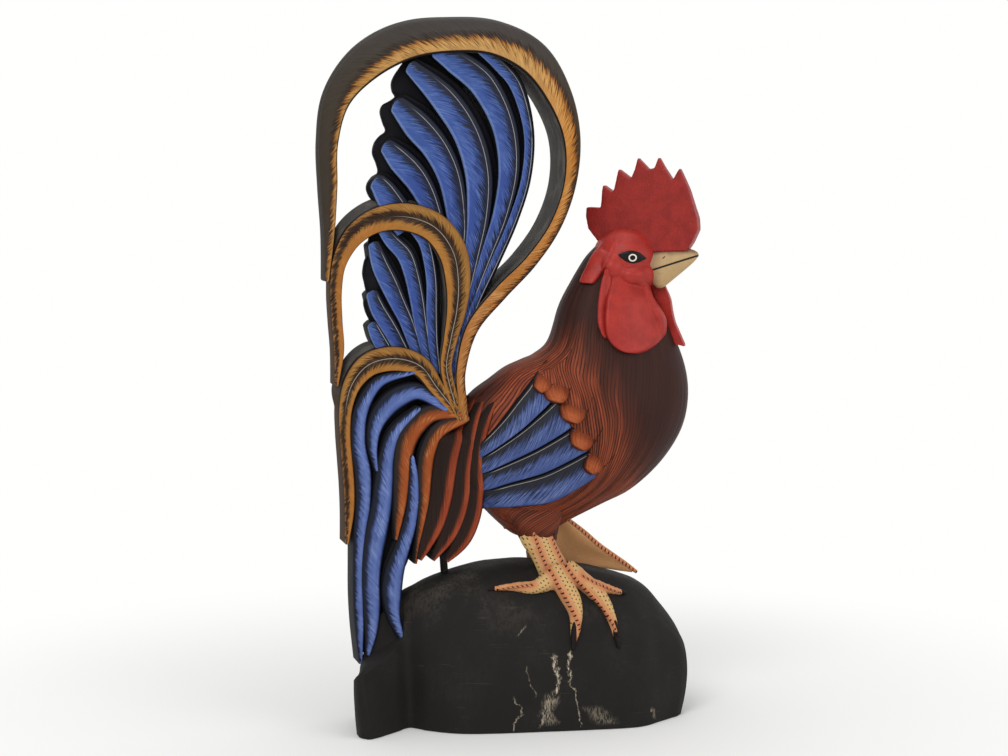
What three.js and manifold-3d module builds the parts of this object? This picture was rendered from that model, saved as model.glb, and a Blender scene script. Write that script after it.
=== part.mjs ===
// Painted wooden rooster on a log shaped base.
// Millimetres, +Z up, X towards the breast, Y away from the viewer, base underside at Z = 0.
import * as THREE from 'three';
import { mergeVertices } from 'three/addons/utils/BufferGeometryUtils.js';
import Module from 'manifold-3d';

const wasm = await Module();
wasm.setup();

// Joint gap that every cut neighbour keeps.
const GAP = 0.3;

// Facets flatter than this are merged, well inside the joint gap.
const FACET_TOLERANCE = 0.08;

// Tail plank: thin at its free left edge, full at the root.
const TAIL_EDGE_X = -222;
const TAIL_TAPER_LENGTH = 250;
const TAIL_EDGE_HALF = 12;
const TAIL_ROOT_HALF = 36;

// Relief of the carved feathers, as shares of a feather's own half width.
const HOOP_SECTION = [[-1, 0.16], [-0.35, 0], [0.4, 0.02], [0.82, 0.2], [1, 0.6]];
const FEATHER_SECTION = [[-1, 0.14], [-0.75, 0], [0.15, 0.1], [1, 0.42]];

// Blunt round tip of a fan feather, as shares of its half width: how far it reaches and how wide it is.
const TIP_REACH = 0.4;
const TIP_WIDTH = 0.6;

// Tail feathers as centre line points [x, z, half width], each from its tip to its root.
const OUTER_HOOP = [
  [-210, 508, 3], [-207, 559, 6.5], [-207, 610, 10], [-207, 661, 11.5], [-196, 710, 15.5], [-164, 749, 20.5],
  [-120, 773, 21.5], [-70, 780, 20], [-20, 777, 20], [25, 755, 20.5], [54, 714, 16.5], [69, 666, 11],
  [67, 615, 8], [50, 567, 7.5], [21, 526, 8], [-15, 490, 9], [-47, 451, 8], [-61, 403, 5], [-58, 366, 5],
];
const MIDDLE_HOOP = [
  [-200, 390, 2.5], [-197, 427, 6], [-199, 460, 6.5], [-200, 494, 7], [-196, 526, 8.5], [-180, 556, 12],
  [-153, 574, 14.5], [-120, 577, 16.5], [-89, 565, 17.5], [-69, 538, 17.5], [-63, 505, 15.5],
  [-65, 472, 12], [-72, 439, 8.5], [-77, 406, 7], [-68, 368, 6],
];
const LOWER_HOOP = [
  [-190, 210, 2.5], [-187, 242, 5.5], [-187, 272, 6.5], [-189, 302, 6.5], [-191, 332, 6.5], [-190, 363, 8],
  [-182, 391, 11], [-163, 412, 14], [-134, 418, 14.5], [-106, 409, 12], [-88, 385, 9], [-66, 356, 6],
];
const UPPER_FAN = [
  [[-149, 617, 13.5], [-142, 609, 17], [-135, 599, 19], [-126, 585, 21], [-114, 567, 20]],
  [[-139, 657, 12], [-126, 645, 17.5], [-113, 632, 19], [-102, 617, 18], [-92, 596, 16], [-83, 566, 14]],
  [[-126, 703, 14], [-105, 683, 21], [-85, 660, 20.5], [-71, 634, 19], [-64, 605, 17], [-60, 562, 14]],
  [[-109, 742, 11], [-74, 712, 20], [-47, 672, 21], [-34, 626, 20], [-35, 578, 17], [-44, 530, 12],
    [-54, 483, 7.5], [-64, 432, 5], [-68, 384, 3]],
  [[-68, 757, 17], [-29, 728, 20.5], [-6, 682, 18], [0, 631, 15.5], [-10, 580, 12], [-28, 532, 9],
    [-46, 484, 6.5], [-61, 432, 5], [-65, 384, 3]],
  [[-30, 763, 7], [7, 722, 8], [20, 672, 6.5], [17, 621, 6], [2, 573, 6], [-19, 526, 6], [-41, 480, 6],
    [-59, 432, 4], [-63, 384, 3]],
];
const MIDDLE_FAN = [
  [[-155, 451, 6.5], [-150, 440, 9], [-144, 431, 10], [-135, 417, 11]],
  [[-154, 485, 7], [-148, 471, 9.5], [-140, 459, 10.5], [-133, 446, 11], [-122, 424, 11]],
  [[-153, 544, 6.5], [-145, 523, 11.5], [-136, 503, 13], [-128, 483, 12.5], [-119, 463, 11], [-111, 440, 10],
    [-101, 410, 8]],
  [[-137, 555, 8], [-120, 536, 12], [-112, 514, 11.5], [-106, 485, 11], [-101, 450, 10], [-93, 405, 7]],
  [[-99, 549, 5], [-93, 526, 7], [-90, 500, 8], [-90, 470, 8.5], [-89, 435, 8], [-85, 400, 6]],
];
const BLUE_SICKLES = [
  [[-116, 402, 3], [-152, 392, 7], [-172, 361, 9], [-176, 323, 9.5], [-171, 288, 10.5], [-171, 252, 9.5],
    [-175, 217, 8], [-177, 181, 6.5], [-177, 146, 6.5], [-176, 110, 5.5], [-175, 70, 2]],
  [[-110, 360, 4], [-134, 336, 8], [-144, 307, 10], [-147, 278, 12], [-150, 250, 13], [-156, 221, 14],
    [-161, 193, 13], [-163, 164, 12], [-162, 135, 11], [-163, 106, 8], [-167, 80, 3]],
  [[-80, 362, 5], [-108, 380, 10], [-132, 373, 13], [-149, 357, 12], [-158, 338, 9], [-160, 316, 6],
    [-156, 291, 2]],
  [[-116, 305, 3], [-114, 278, 7], [-115, 251, 8], [-120, 225, 9], [-128, 200, 10], [-136, 175, 12],
    [-139, 149, 12], [-137, 123, 8], [-129, 99, 4]],
];
const ORANGE_SICKLES = [
  [[-60, 354, 6], [-92, 355, 11], [-111, 341, 13], [-122, 322, 13], [-126, 300, 12], [-127, 278, 11],
    [-129, 256, 9], [-132, 233, 6], [-135, 212, 2]],
  [[-58, 348, 7], [-84, 336, 10], [-97, 312, 11], [-101, 286, 10], [-102, 260, 8], [-105, 235, 6],
    [-109, 209, 4], [-113, 184, 2]],
];
const SADDLE_PLUMES = [
  [[-62, 338, 8], [-79, 300, 12], [-86, 265, 13], [-93, 236, 12], [-104, 210, 8], [-110, 190, 3]],
  [[-52, 330, 10], [-64, 295, 11], [-70, 262, 11], [-76, 232, 12], [-87, 204, 10], [-102, 183, 4]],
  [[-40, 320, 10], [-49, 290, 11], [-54, 260, 11], [-59, 232, 11], [-68, 205, 9], [-80, 183, 3]],
  [[-32, 300, 8], [-39, 270, 9], [-42, 242, 8], [-50, 218, 4]],
];
const PLUME_HALF = 33;

// Body: paired points [back x, back z, belly x, belly z, half depth] from the neck to the rump.
const BODY_PAIRS = [
  [106, 540, 160, 508, 27], [94, 527, 174, 482, 33], [78, 501, 199, 438, 43], [64, 474, 214, 398, 52],
  [51, 434, 217, 362, 61], [35, 419, 208, 326, 68], [19, 412, 184, 290, 70], [0, 404, 149, 259, 70],
  [-19, 391, 113, 242, 66], [-38, 378, 78, 226, 61], [-51, 364, 42, 208, 54], [-61, 346, 12, 208, 48],
  [-70, 322, -12, 226, 43], [-74, 302, -32, 248, 38],
];
const BODY_SQUARENESS = 2.15;
const BODY_SIDES = 20;
const THIGH_Y = 36;
const LIMB_SIDES = 8;
const SHANK_SLOPE = 0.15;
const THIGH_ROWS = [[18, 262, 28, 16], [22, 240, 30, 18], [26, 222, 26, 16], [28, 212, 22, 12]];

// Near side first, then the far side.
const sideSigns = [1, -1];

// Wing: the lines between its feathers from their tips up to the shoulder, the shoulder corner of each
// feather, and how far it stands proud. Points are [x, z].
const WING_LINES = [
  [[-47, 316], [-15, 352], [16, 388]],
  [[-47, 301], [0, 337], [36, 367]],
  [[-45, 284], [10, 312], [56, 337]],
  [[-41, 264], [20, 288], [74, 309]],
  [[-41, 245], [5, 249], [43, 254], [73, 267]],
];
const WING_SHOULDER = [[29, 384], [49, 354], [67, 325], [92, 281]];
const WING_PROUD = [8, 7, 6, 5];

// Each wing feather runs this far under the next one down.
const WING_TUCK = 2;

const SCALLOPS = [[36, 387], [49, 373], [61, 352], [74, 326], [87, 302]];
const SCALLOP_RADIUS = 16;
const SCALLOP_SIDES = 10;
const SCALLOP_PROUD = 10;

// A wing lies between these distances from the middle plane, clear of the plumes.
const WING_INNER = PLUME_HALF + 1;
const WING_REACH = 95;

// Head, drawn in its own profile plane and turned towards the viewer.
const HEAD_X = 142;
const HEAD_TURN = -35;
const HEAD_CENTRE_Z = 528;
const HEAD_RADII = [38, 33, 35];
const CHEEK_CENTRE = [8, 0, 508];
const CHEEK_RADII = [33, 35, 24];
const COMB_THICKNESS = 15;
const COMB_BEVEL = 3;
const COMB_OUTLINE = [
  [-30, 545], [-43, 561], [-46, 576], [-45, 586], [-28, 585], [-26, 612], [-13, 603], [-7, 630], [8, 619],
  [16, 643], [29, 630], [36, 631], [41, 644], [48, 632], [58, 617], [66, 631], [77, 608], [88, 574], [89, 561],
  [82, 546], [76, 536], [36, 536], [24, 530], [-10, 530],
];
const BEAK_SECTIONS = [
  [30, 532, 500, 13], [38, 538, 495, 12.5], [47, 540, 493, 11.5], [56, 540, 503, 10], [67, 540, 517, 8],
  [79, 539, 524, 5.5], [86, 536, 527, 3], [89, 533, 530, 1],
];
const WATTLE_OUTLINE = [
  [46, 501], [57, 482], [66, 460], [66, 444], [58, 430], [40, 423], [20, 424], [5, 431], [-4, 446], [-5, 470],
  [-4, 495], [6, 505],
];
const LOBE_OUTLINE = [
  [-8, 505], [-14, 498], [-18, 486], [-19, 468], [-16, 453], [-11, 440], [-3, 439], [-4, 470], [-5, 500],
];
const EAR_FLAP_OUTLINE = [[-20, 540], [-28, 524], [-36, 503], [-16, 502], [-8, 512], [-5, 524], [-10, 538]];
const WATTLE_PROUD = 9;
const LOBE_PROUD = 7;
const WATTLE_PARTING = 7;
const LOBE_PARTING = 12;
const NECK_REACH = 90;

// Base log: [x, front y, back y, height, squareness of the section, undercut of its foot].
const BASE_STATIONS = [
  [-194, -85, -70, 84, 1.6, -5], [-188, -90, -48, 92, 1.6, -4], [-180, -90, -16, 100, 1.6, -1],
  [-168, -85, 18, 111, 1.6, 0], [-156, -75, 36, 122, 1.6, 0], [-142, -63, 50, 133, 1.7, 0],
  [-124, -48, 58, 148, 1.8, 0], [-106, -68, 66, 158, 2, 0], [-76, -89, 84, 169, 2.3, 0],
  [-37, -98, 98, 177, 2.4, 0], [17, -103, 106, 180, 2.5, 0], [82, -108, 106, 173, 2.5, 0],
  [130, -107, 102, 161, 2.4, 0], [162, -88, 94, 147, 2.3, 2], [182, -76, 84, 126, 2.4, 6],
  [196, -68, 74, 106, 2.6, 9], [204, -60, 64, 90, 2.8, 11],
];
const BASE_SIDES = 14;

// Legs: shank points [x, y, z, half width across, half width fore and aft].
const SHANK = [
  [21, -32, 240, 15, 25], [24, -36, 219, 13, 24], [29, -38, 205, 12, 20], [35, -40, 194, 11, 17.5],
  [42, -43, 180, 11, 18], [49, -46, 164, 11, 19], [53, -50, 144, 8, 15],
];
const TOES = [
  [[40, -47, 11], [18, -50, 9], [-6, -54, 6], [-31, -58, 2]],
  [[44, -50, 14], [52, -66, 12], [61, -84, 9], [54, -97, 2]],
  [[58, -48, 14], [78, -60, 12], [97, -76, 8], [104, -91, 2]],
  [[54, -43, 12], [80, -44, 10], [106, -44, 7], [133, -45, 2]],
];
const TOE_TIP_RADIUS = 1.5;
const FAR_FIN = [
  [72, 226], [90, 218], [100, 204], [124, 184], [149, 167], [170, 148], [149, 150], [124, 155], [97, 157],
  [66, 162], [64, 200],
];
const FAR_FIN_HALF = 7;
const FAR_Y = 38;

// Hidden joinery: [radius, start, end].
const FOOT_DOWEL = { radius: 4, from: [50, 47, 112], to: [38, 40, 182] };
const THIGH_DOWEL = { radius: 4, from: [38, 38, 200], to: [26, 32, 262] };
const NECK_DOWEL = { radius: 6, from: [0, 0, HEAD_CENTRE_Z - 50], to: [0, 0, HEAD_CENTRE_Z + 8] };
const COMB_DOWEL = { radius: 3, from: [4, 0, HEAD_CENTRE_Z + 10], to: [4, 0, HEAD_CENTRE_Z + 50] };
const PROP_PEG = { radius: 4.5, from: [-72, 0, 150], to: [-76, 0, 206] };

// Catmull-Rom curve through rows of numbers, sampled evenly along every span.
function through(rows, spanSteps) {
  const last = rows.length - 1;
  const samples = [];
  for (let i = 0; i <= last * spanSteps; i += 1) {
    const at = Math.min(Math.floor(i / spanSteps), last - 1);
    const t = i / spanSteps - at;
    const [a, b, c, d] = [at - 1, at, at + 1, at + 2].map((k) => rows[Math.min(Math.max(k, 0), last)]);
    samples.push(b.map((_, k) => 0.5 * (
      2 * b[k] + (c[k] - a[k]) * t
      + (2 * a[k] - 5 * b[k] + 4 * c[k] - d[k]) * t * t
      + (3 * b[k] - a[k] - 3 * c[k] + d[k]) * t * t * t
    )));
  }
  return samples;
}

// Signed volume of an indexed triangle list, which tells whether its faces point outwards.
function signedVolume(points, triangles) {
  let total = 0;
  for (let i = 0; i < triangles.length; i += 3) {
    const [a, b, c] = [0, 1, 2].map((k) => new THREE.Vector3().fromArray(points, 3 * triangles[i + k]));
    total += a.dot(b.cross(c));
  }
  return total / 6;
}

// Closed mesh as a solid, with its surface moved outwards by the given growth.
function grownSolid(geometry, grow) {
  const bare = new THREE.BufferGeometry();
  bare.setAttribute('position', geometry.attributes.position.clone());
  bare.setIndex(geometry.index ? geometry.index.clone() : null);
  const merged = mergeVertices(bare, 1e-4);
  const points = [...merged.attributes.position.array];
  const triangles = [...merged.index.array];
  if (signedVolume(points, triangles) < 0) triangles.reverse();
  if (grow > 0) {
    merged.setIndex(triangles);
    merged.computeVertexNormals();
    merged.attributes.normal.array.forEach((n, i) => { points[i] += n * grow; });
  }
  return new wasm.Manifold(new wasm.Mesh({
    numProp: 3,
    vertProperties: new Float32Array(points),
    triVerts: new Uint32Array(triangles),
  }));
}

// Solid through rings of equal length, closed at both ends by a fan round the ring's middle.
function loft(rings, grow = 0) {
  const size = rings[0].length;
  const points = rings.flat(2);
  const triangles = [];
  for (let i = 0; i < rings.length - 1; i += 1) {
    for (let j = 0; j < size; j += 1) {
      const a = i * size + j;
      const b = i * size + ((j + 1) % size);
      triangles.push(a, b, b + size, a, b + size, a + size);
    }
  }
  const close = (end, flip) => {
    const hub = points.length / 3;
    points.push(...[0, 1, 2].map((k) => rings[end].reduce((sum, p) => sum + p[k], 0) / size));
    for (let j = 0; j < size; j += 1) {
      const a = end * size + j;
      const b = end * size + ((j + 1) % size);
      triangles.push(...(flip ? [hub, b, a] : [hub, a, b]));
    }
  };
  close(0, true);
  close(rings.length - 1, false);
  const geometry = new THREE.BufferGeometry();
  geometry.setAttribute('position', new THREE.Float32BufferAttribute(points, 3));
  geometry.setIndex(triangles);
  return grownSolid(geometry, grow);
}

// Half depth of the tail plank at x.
function tailHalf(x) {
  const t = THREE.MathUtils.clamp((x - TAIL_EDGE_X) / TAIL_TAPER_LENGTH, 0, 1);
  return TAIL_EDGE_HALF + (TAIL_ROOT_HALF - TAIL_EDGE_HALF) * t * (2 - t);
}

// Feather cut through the plank: its section runs across the front, then mirrored across the back.
function feather(line, section, { half = tailHalf, spanSteps = 1, grow = 0 } = {}) {
  const samples = through(line, spanSteps);
  const rings = samples.map(([x, z, width], i) => {
    const before = samples[Math.max(i - 1, 0)];
    const after = samples[Math.min(i + 1, samples.length - 1)];
    const along = new THREE.Vector2(after[0] - before[0], after[1] - before[1]).normalize();
    const w = Math.max(width, 1);
    const front = section.map(([u, sink]) => [x - along.y * u * w, sink * w - half(x), z + along.x * u * w]);
    return [...front, ...front.map((p) => [p[0], -p[1], p[2]]).reverse()];
  });
  return loft(rings, grow);
}

// Trunk from the neck to the rump, with its two feathered thighs.
function bodySolid(grow = 0) {
  const bend = (v) => Math.sign(v) * Math.abs(v) ** (2 / BODY_SQUARENESS);
  const rings = BODY_PAIRS.map(([backX, backZ, bellyX, bellyZ, half]) => {
    const middle = [(backX + bellyX) / 2, (backZ + bellyZ) / 2];
    const reach = [(bellyX - backX) / 2, (bellyZ - backZ) / 2];
    return Array.from({ length: BODY_SIDES }, (_, k) => {
      const angle = (2 * Math.PI * k) / BODY_SIDES;
      const across = bend(Math.cos(angle));
      return [middle[0] + reach[0] * across, bend(Math.sin(angle)) * half, middle[1] + reach[1] * across];
    });
  });
  return sideSigns.reduce((sum, side) => sum.add(thigh(side, grow)), loft(rings, grow));
}

// Thigh: rows of [x, z, half width fore and aft, half width across].
function thigh(side, grow) {
  return loft(THIGH_ROWS.map(([x, z, long, half]) => (
    ring([x, -side * THIGH_Y, z], [long, 0, -0.1 * long], [0, half, 0], LIMB_SIDES)
  )), grow);
}

// Ring of points round a centre, spanned by two half axes.
function ring(centre, u, v, sides) {
  return Array.from({ length: sides }, (_, k) => {
    const angle = (2 * Math.PI * k) / sides;
    return [0, 1, 2].map((i) => centre[i] + u[i] * Math.cos(angle) + v[i] * Math.sin(angle));
  });
}

// Outline in the XZ plane pushed through from one y to another.
function slab(outline, fromY, toY) {
  const shape = new THREE.Shape(outline.map(([x, z]) => new THREE.Vector2(x, z)));
  const geometry = new THREE.ExtrudeGeometry(shape, { depth: toY - fromY, bevelEnabled: false, steps: 1 });
  geometry.rotateX(Math.PI / 2);
  geometry.translate(0, toY, 0);
  return grownSolid(geometry, 0);
}

// Smooth closed outline through the given points.
function rounded(points, divisions = 2) {
  const curve = new THREE.CatmullRomCurve3(points.map(([x, z]) => new THREE.Vector3(x, 0, z)), true);
  return curve.getPoints(points.length * divisions).slice(0, -1).map((p) => [p.x, p.z]);
}

// Outline moved outwards by the joint gap, for the cut in its neighbour.
function widened(outline, by) {
  const area = THREE.ShapeUtils.area(outline.map(([x, y]) => ({ x, y })));
  const sign = Math.sign(area);
  return outline.map((p, i) => {
    const before = outline[(i + outline.length - 1) % outline.length];
    const after = outline[(i + 1) % outline.length];
    const along = new THREE.Vector2(after[0] - before[0], after[1] - before[1]).normalize();
    return [p[0] + along.y * by * sign, p[1] - along.x * by * sign];
  });
}

// Straight round peg between two points.
function peg({ radius, from, to }, grow = 0, sides = 12) {
  const start = new THREE.Vector3(...from);
  const end = new THREE.Vector3(...to);
  const along = end.clone().sub(start);
  const geometry = new THREE.CylinderGeometry(radius + grow, radius + grow, along.length() + 2 * grow, sides);
  geometry.applyQuaternion(new THREE.Quaternion().setFromUnitVectors(
    new THREE.Vector3(0, 1, 0), along.clone().normalize(),
  ));
  geometry.translate(...start.add(end).multiplyScalar(0.5).toArray());
  return grownSolid(geometry, 0);
}

const mirrored = (part) => ({
  ...part,
  from: [part.from[0], -part.from[1], part.from[2]],
  to: [part.to[0], -part.to[1], part.to[2]],
});

// The base section at x: a flat underside and a squarish arch, whose foot is drawn in by the undercut.
function baseArch([x, front, back, height, squareness, undercut]) {
  const bend = (v) => Math.sign(v) * Math.abs(v) ** (2 / squareness);
  return Array.from({ length: BASE_SIDES + 1 }, (_, k) => {
    const angle = (Math.PI * k) / BASE_SIDES;
    const rise = bend(Math.sin(angle));
    const y = (front + back) / 2 - (bend(Math.cos(angle)) * (back - front)) / 2;
    return [x - undercut * (1 - rise) ** 2, y, rise * height];
  });
}

function baseSolid(grow = 0) {
  return loft(BASE_STATIONS.map(baseArch), grow);
}

// Height of the base's top at a point, from the same stations.
function baseTop(x, y) {
  const rows = through(BASE_STATIONS, 8);
  const row = rows.reduce((best, next) => (Math.abs(next[0] - x) < Math.abs(best[0] - x) ? next : best));
  const [, front, back] = row;
  const share = Math.min(Math.abs(2 * y - front - back) / (back - front), 0.98);
  return row[3] * (1 - share ** row[4]) ** (1 / row[4]);
}

// Toe lying on the base, from the foot to its claw.
function toe(points) {
  const widths = through(points, 2).map((row) => row[2]);
  const path = through(points, 2).map(([x, y, r]) => [x, y, baseTop(x, y) + 0.35 * r]);
  const rings = path.map(([x, y, z], i) => {
    const r = Math.max(widths[i], TOE_TIP_RADIUS);
    const before = path[Math.max(i - 1, 0)];
    const after = path[Math.min(i + 1, path.length - 1)];
    const along = new THREE.Vector3(...after.map((v, k) => v - before[k])).normalize();
    const across = new THREE.Vector3(0, 0, 1).cross(along).normalize();
    const up = along.clone().cross(across);
    return ring([x, y, z], across.multiplyScalar(r).toArray(), up.multiplyScalar(r).toArray(), 6);
  });
  return loft(rings);
}

function shank(points) {
  return loft(points.map(([x, y, z, half, long]) => (
    ring([x, y, z], [long, 0, SHANK_SLOPE * long], [0, half, 0], LIMB_SIDES)
  )));
}

// The largest piece left by a cut, without its loose chips and hair-thin facets.
function whole(solid) {
  const largest = solid.decompose().reduce((best, next) => (next.volume() > best.volume() ? next : best));
  return largest.simplify(FACET_TOLERANCE);
}

const all = (solids) => solids.reduce((sum, next) => sum.add(next));
const cutBy = (solid, ...tools) => whole(tools.reduce((rest, tool) => rest.subtract(tool), solid));

// Painted timber finish.
function paint(color, roughness) {
  return new THREE.MeshStandardMaterial({ color, roughness, metalness: 0 });
}
const FINISH = {
  hoop: paint('#a8743a', 0.62),
  blue: paint('#4c68a6', 0.6),
  rust: paint('#a04c26', 0.62),
  plume: paint('#6e3524', 0.62),
  body: paint('#5c3328', 0.6),
  wing: paint('#5f78a8', 0.6),
  red: paint('#b8323a', 0.4),
  comb: paint('#a62f33', 0.5),
  beak: paint('#c3a57d', 0.5),
  leg: paint('#dcb98c', 0.55),
  base: paint('#33302f', 0.8),
  dowel: paint('#c9a878', 0.85),
};

function piece(name, solid, finish) {
  const { vertProperties, triVerts, numProp } = solid.getMesh();
  const positions = new Float32Array((vertProperties.length / numProp) * 3);
  for (let i = 0; i < positions.length / 3; i += 1) {
    positions.set(vertProperties.subarray(i * numProp, i * numProp + 3), i * 3);
  }
  const geometry = new THREE.BufferGeometry();
  geometry.setAttribute('position', new THREE.BufferAttribute(positions, 3));
  geometry.setIndex([...triVerts]);
  geometry.computeVertexNormals();
  const mesh = new THREE.Mesh(geometry, finish);
  mesh.name = name;
  return mesh;
}

// Body and everything cut to it.
const bodyRaw = bodySolid();
const bodyCutter = bodySolid(GAP);

// Tail.
const hoop = (line, grow = 0) => feather(line, HOOP_SECTION, { spanSteps: 2, grow });
const fanFeather = (line, grow = 0) => feather(line, FEATHER_SECTION, { grow });

// The same line with a short step before its first row, which rounds the feather's tip.
function blunted(line) {
  const [[x, z, width], [nextX, nextZ]] = line;
  const along = new THREE.Vector2(nextX - x, nextZ - z).normalize().multiplyScalar(TIP_REACH * width);
  return [[x - along.x, z - along.y, TIP_WIDTH * width], ...line];
}

const outerCut = hoop(OUTER_HOOP, GAP);
const middleCut = hoop(MIDDLE_HOOP, GAP);
const lowerCut = hoop(LOWER_HOOP, GAP);
const outerHoop = cutBy(hoop(OUTER_HOOP), bodyCutter);
const middleHoop = cutBy(hoop(MIDDLE_HOOP), bodyCutter, outerCut);
const lowerHoop = cutBy(hoop(LOWER_HOOP), bodyCutter, outerCut, middleCut);
const fan = (lines, grow = 0) => all(lines.map((line) => fanFeather(blunted(line), grow)));
const upperFan = cutBy(fan(UPPER_FAN), bodyCutter, outerCut, middleCut);
const middleFan = cutBy(fan(MIDDLE_FAN), middleCut, lowerCut, outerCut, fan(UPPER_FAN, GAP));

// Drape: each sickle is cut by those that lie before it.
const sickleLines = [BLUE_SICKLES[0], BLUE_SICKLES[2], BLUE_SICKLES[1], ORANGE_SICKLES[0], BLUE_SICKLES[3],
  ORANGE_SICKLES[1]];
const sickleNames = ['outer_blue_sickle', 'short_blue_sickle', 'long_blue_sickle', 'long_rust_sickle',
  'inner_blue_sickle', 'short_rust_sickle'];
const sickleFinishes = sickleNames.map((name) => (name.includes('rust') ? FINISH.rust : FINISH.blue));
const sickleCutters = sickleLines.map((line) => fanFeather(line, GAP));
const sickles = sickleLines.map((line, i) => cutBy(
  fanFeather(line), bodyCutter, outerCut, middleCut, lowerCut, ...sickleCutters.slice(0, i),
));

// Saddle plumes.
const plume = (line) => feather(line, FEATHER_SECTION, { half: () => PLUME_HALF });
const plumes = cutBy(
  all(SADDLE_PLUMES.map(plume)), bodyCutter, ...sickleCutters, peg(PROP_PEG, GAP),
);

// Wings: shells that follow the body, with scallops over their shoulder edge.
function skin(outline, proud, side) {
  const edges = side > 0 ? [-WING_REACH, -WING_INNER] : [WING_INNER, WING_REACH];
  return slab(outline, ...edges).intersect(bodySolid(proud)).subtract(bodyCutter);
}
const scallopOutline = ([x, z], radius) => Array.from({ length: SCALLOP_SIDES }, (_, k) => {
  const angle = (2 * Math.PI * k) / SCALLOP_SIDES;
  return [x + radius * Math.cos(angle), z + radius * Math.sin(angle)];
});
const scallops = (side) => cutBy(all(
  SCALLOPS.map((centre) => skin(scallopOutline(centre, SCALLOP_RADIUS), SCALLOP_PROUD, side)),
));
const scallopCut = all(
  SCALLOPS.map((centre) => slab(scallopOutline(centre, SCALLOP_RADIUS + 1.5 * GAP), -WING_REACH, WING_REACH)),
);
const wing = (side) => cutBy(
  all(WING_SHOULDER.map((corner, i) => {
    const underside = WING_LINES[i + 1].map(([x, z]) => [x, z - WING_TUCK]).toReversed();
    const outline = [...WING_LINES[i], corner, ...underside];
    return skin(rounded(outline, 1), WING_PROUD[i], side);
  })), scallopCut,
);

// Head group, in the head's own frame.
const headPlace = new THREE.Matrix4().makeRotationZ(THREE.MathUtils.degToRad(HEAD_TURN));
headPlace.setPosition(HEAD_X, 0, 0);
const toHead = (solid) => solid.transform(headPlace.clone().invert().toArray());
const neckCut = toHead(bodyCutter);

function egg(centre, radii, grow) {
  const geometry = new THREE.SphereGeometry(1, 16, 10);
  geometry.rotateX(Math.PI / 2);
  geometry.scale(...radii);
  geometry.translate(...centre);
  return grownSolid(geometry, grow);
}
// Slab outside the parting distance on one side of the neck.
function sideSlab(outline, side, parting, grow) {
  const edges = side > 0 ? [-NECK_REACH, grow - parting] : [parting - grow, NECK_REACH];
  return slab(widened(outline, grow), ...edges);
}
const proudOfNeck = (proud) => toHead(bodySolid(proud)).subtract(neckCut);
const wattleSlab = (side, grow = 0) => sideSlab(rounded(WATTLE_OUTLINE), side, WATTLE_PARTING, grow);
const lobeSlab = (side, grow = 0) => sideSlab(rounded(LOBE_OUTLINE), side, LOBE_PARTING, grow);
function headSolid(grow = 0) {
  const flaps = sideSigns.map((side) => sideSlab(EAR_FLAP_OUTLINE, side, LOBE_PARTING, grow)
    .intersect(proudOfNeck(LOBE_PROUD + grow)));
  const eggs = [egg([0, 0, HEAD_CENTRE_Z], HEAD_RADII, grow), egg(CHEEK_CENTRE, CHEEK_RADII, grow)];
  return all([...eggs, ...flaps]).subtract(neckCut);
}
const headCutter = headSolid(GAP);
const head = cutBy(
  headSolid(), peg(NECK_DOWEL, GAP), peg(COMB_DOWEL, GAP),
  ...sideSigns.map((side) => wattleSlab(side, GAP)), ...sideSigns.map((side) => lobeSlab(side, GAP)),
);

function beakSolid(grow = 0) {
  return loft(BEAK_SECTIONS.map(([x, top, bottom, half]) => ring(
    [x, 0, (top + bottom) / 2], [0, half, 0], [0, 0, (top - bottom) / 2], 12,
  )), grow);
}
const beakCutter = beakSolid(GAP);
const beak = cutBy(beakSolid(), headCutter, neckCut);

function combSolid() {
  const bevel = COMB_BEVEL;
  const shape = new THREE.Shape(COMB_OUTLINE.map(([x, z]) => new THREE.Vector2(x, z)));
  const geometry = new THREE.ExtrudeGeometry(shape, {
    depth: COMB_THICKNESS - 2 * bevel,
    bevelThickness: bevel,
    bevelSize: bevel,
    bevelOffset: -bevel,
    bevelSegments: 1,
  });
  geometry.rotateX(Math.PI / 2);
  geometry.translate(0, COMB_THICKNESS / 2 - bevel, 0);
  return grownSolid(geometry, 0);
}
const comb = cutBy(combSolid(), headCutter, peg(COMB_DOWEL, GAP), beakCutter);

const wattle = (side) => cutBy(wattleSlab(side).intersect(proudOfNeck(WATTLE_PROUD)), beakCutter);
const lobe = (side) => cutBy(lobeSlab(side).intersect(proudOfNeck(LOBE_PROUD)), wattleSlab(side, GAP));

// Base and legs.
const baseCutter = baseSolid(GAP);
const nearFoot = mirrored(FOOT_DOWEL);
const nearThigh = mirrored(THIGH_DOWEL);
const nearLeg = cutBy(
  all([shank(SHANK), ...TOES.map(toe)]), bodyCutter, baseCutter, peg(nearFoot, GAP), peg(nearThigh, GAP),
);
const farShank = SHANK.map(([x, y, z, half, long]) => [x, -y, z, half, long]);
const farToes = TOES.slice(1, 3).map((points) => points.map(([x, y, r]) => [x, -y, r]));
const farLeg = cutBy(
  all([shank(farShank), ...farToes.map(toe), slab(FAR_FIN, FAR_Y - FAR_FIN_HALF, FAR_Y + FAR_FIN_HALF)]),
  bodyCutter, baseCutter, peg(FOOT_DOWEL, GAP), peg(THIGH_DOWEL, GAP),
);
const base = cutBy(
  baseSolid(), ...sickleCutters, peg(PROP_PEG, GAP), peg(FOOT_DOWEL, GAP), peg(nearFoot, GAP),
);
const neckPeg = peg(NECK_DOWEL, GAP).transform(headPlace.toArray());
const body = cutBy(bodyRaw, peg(THIGH_DOWEL, GAP), peg(nearThigh, GAP), neckPeg);

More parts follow.
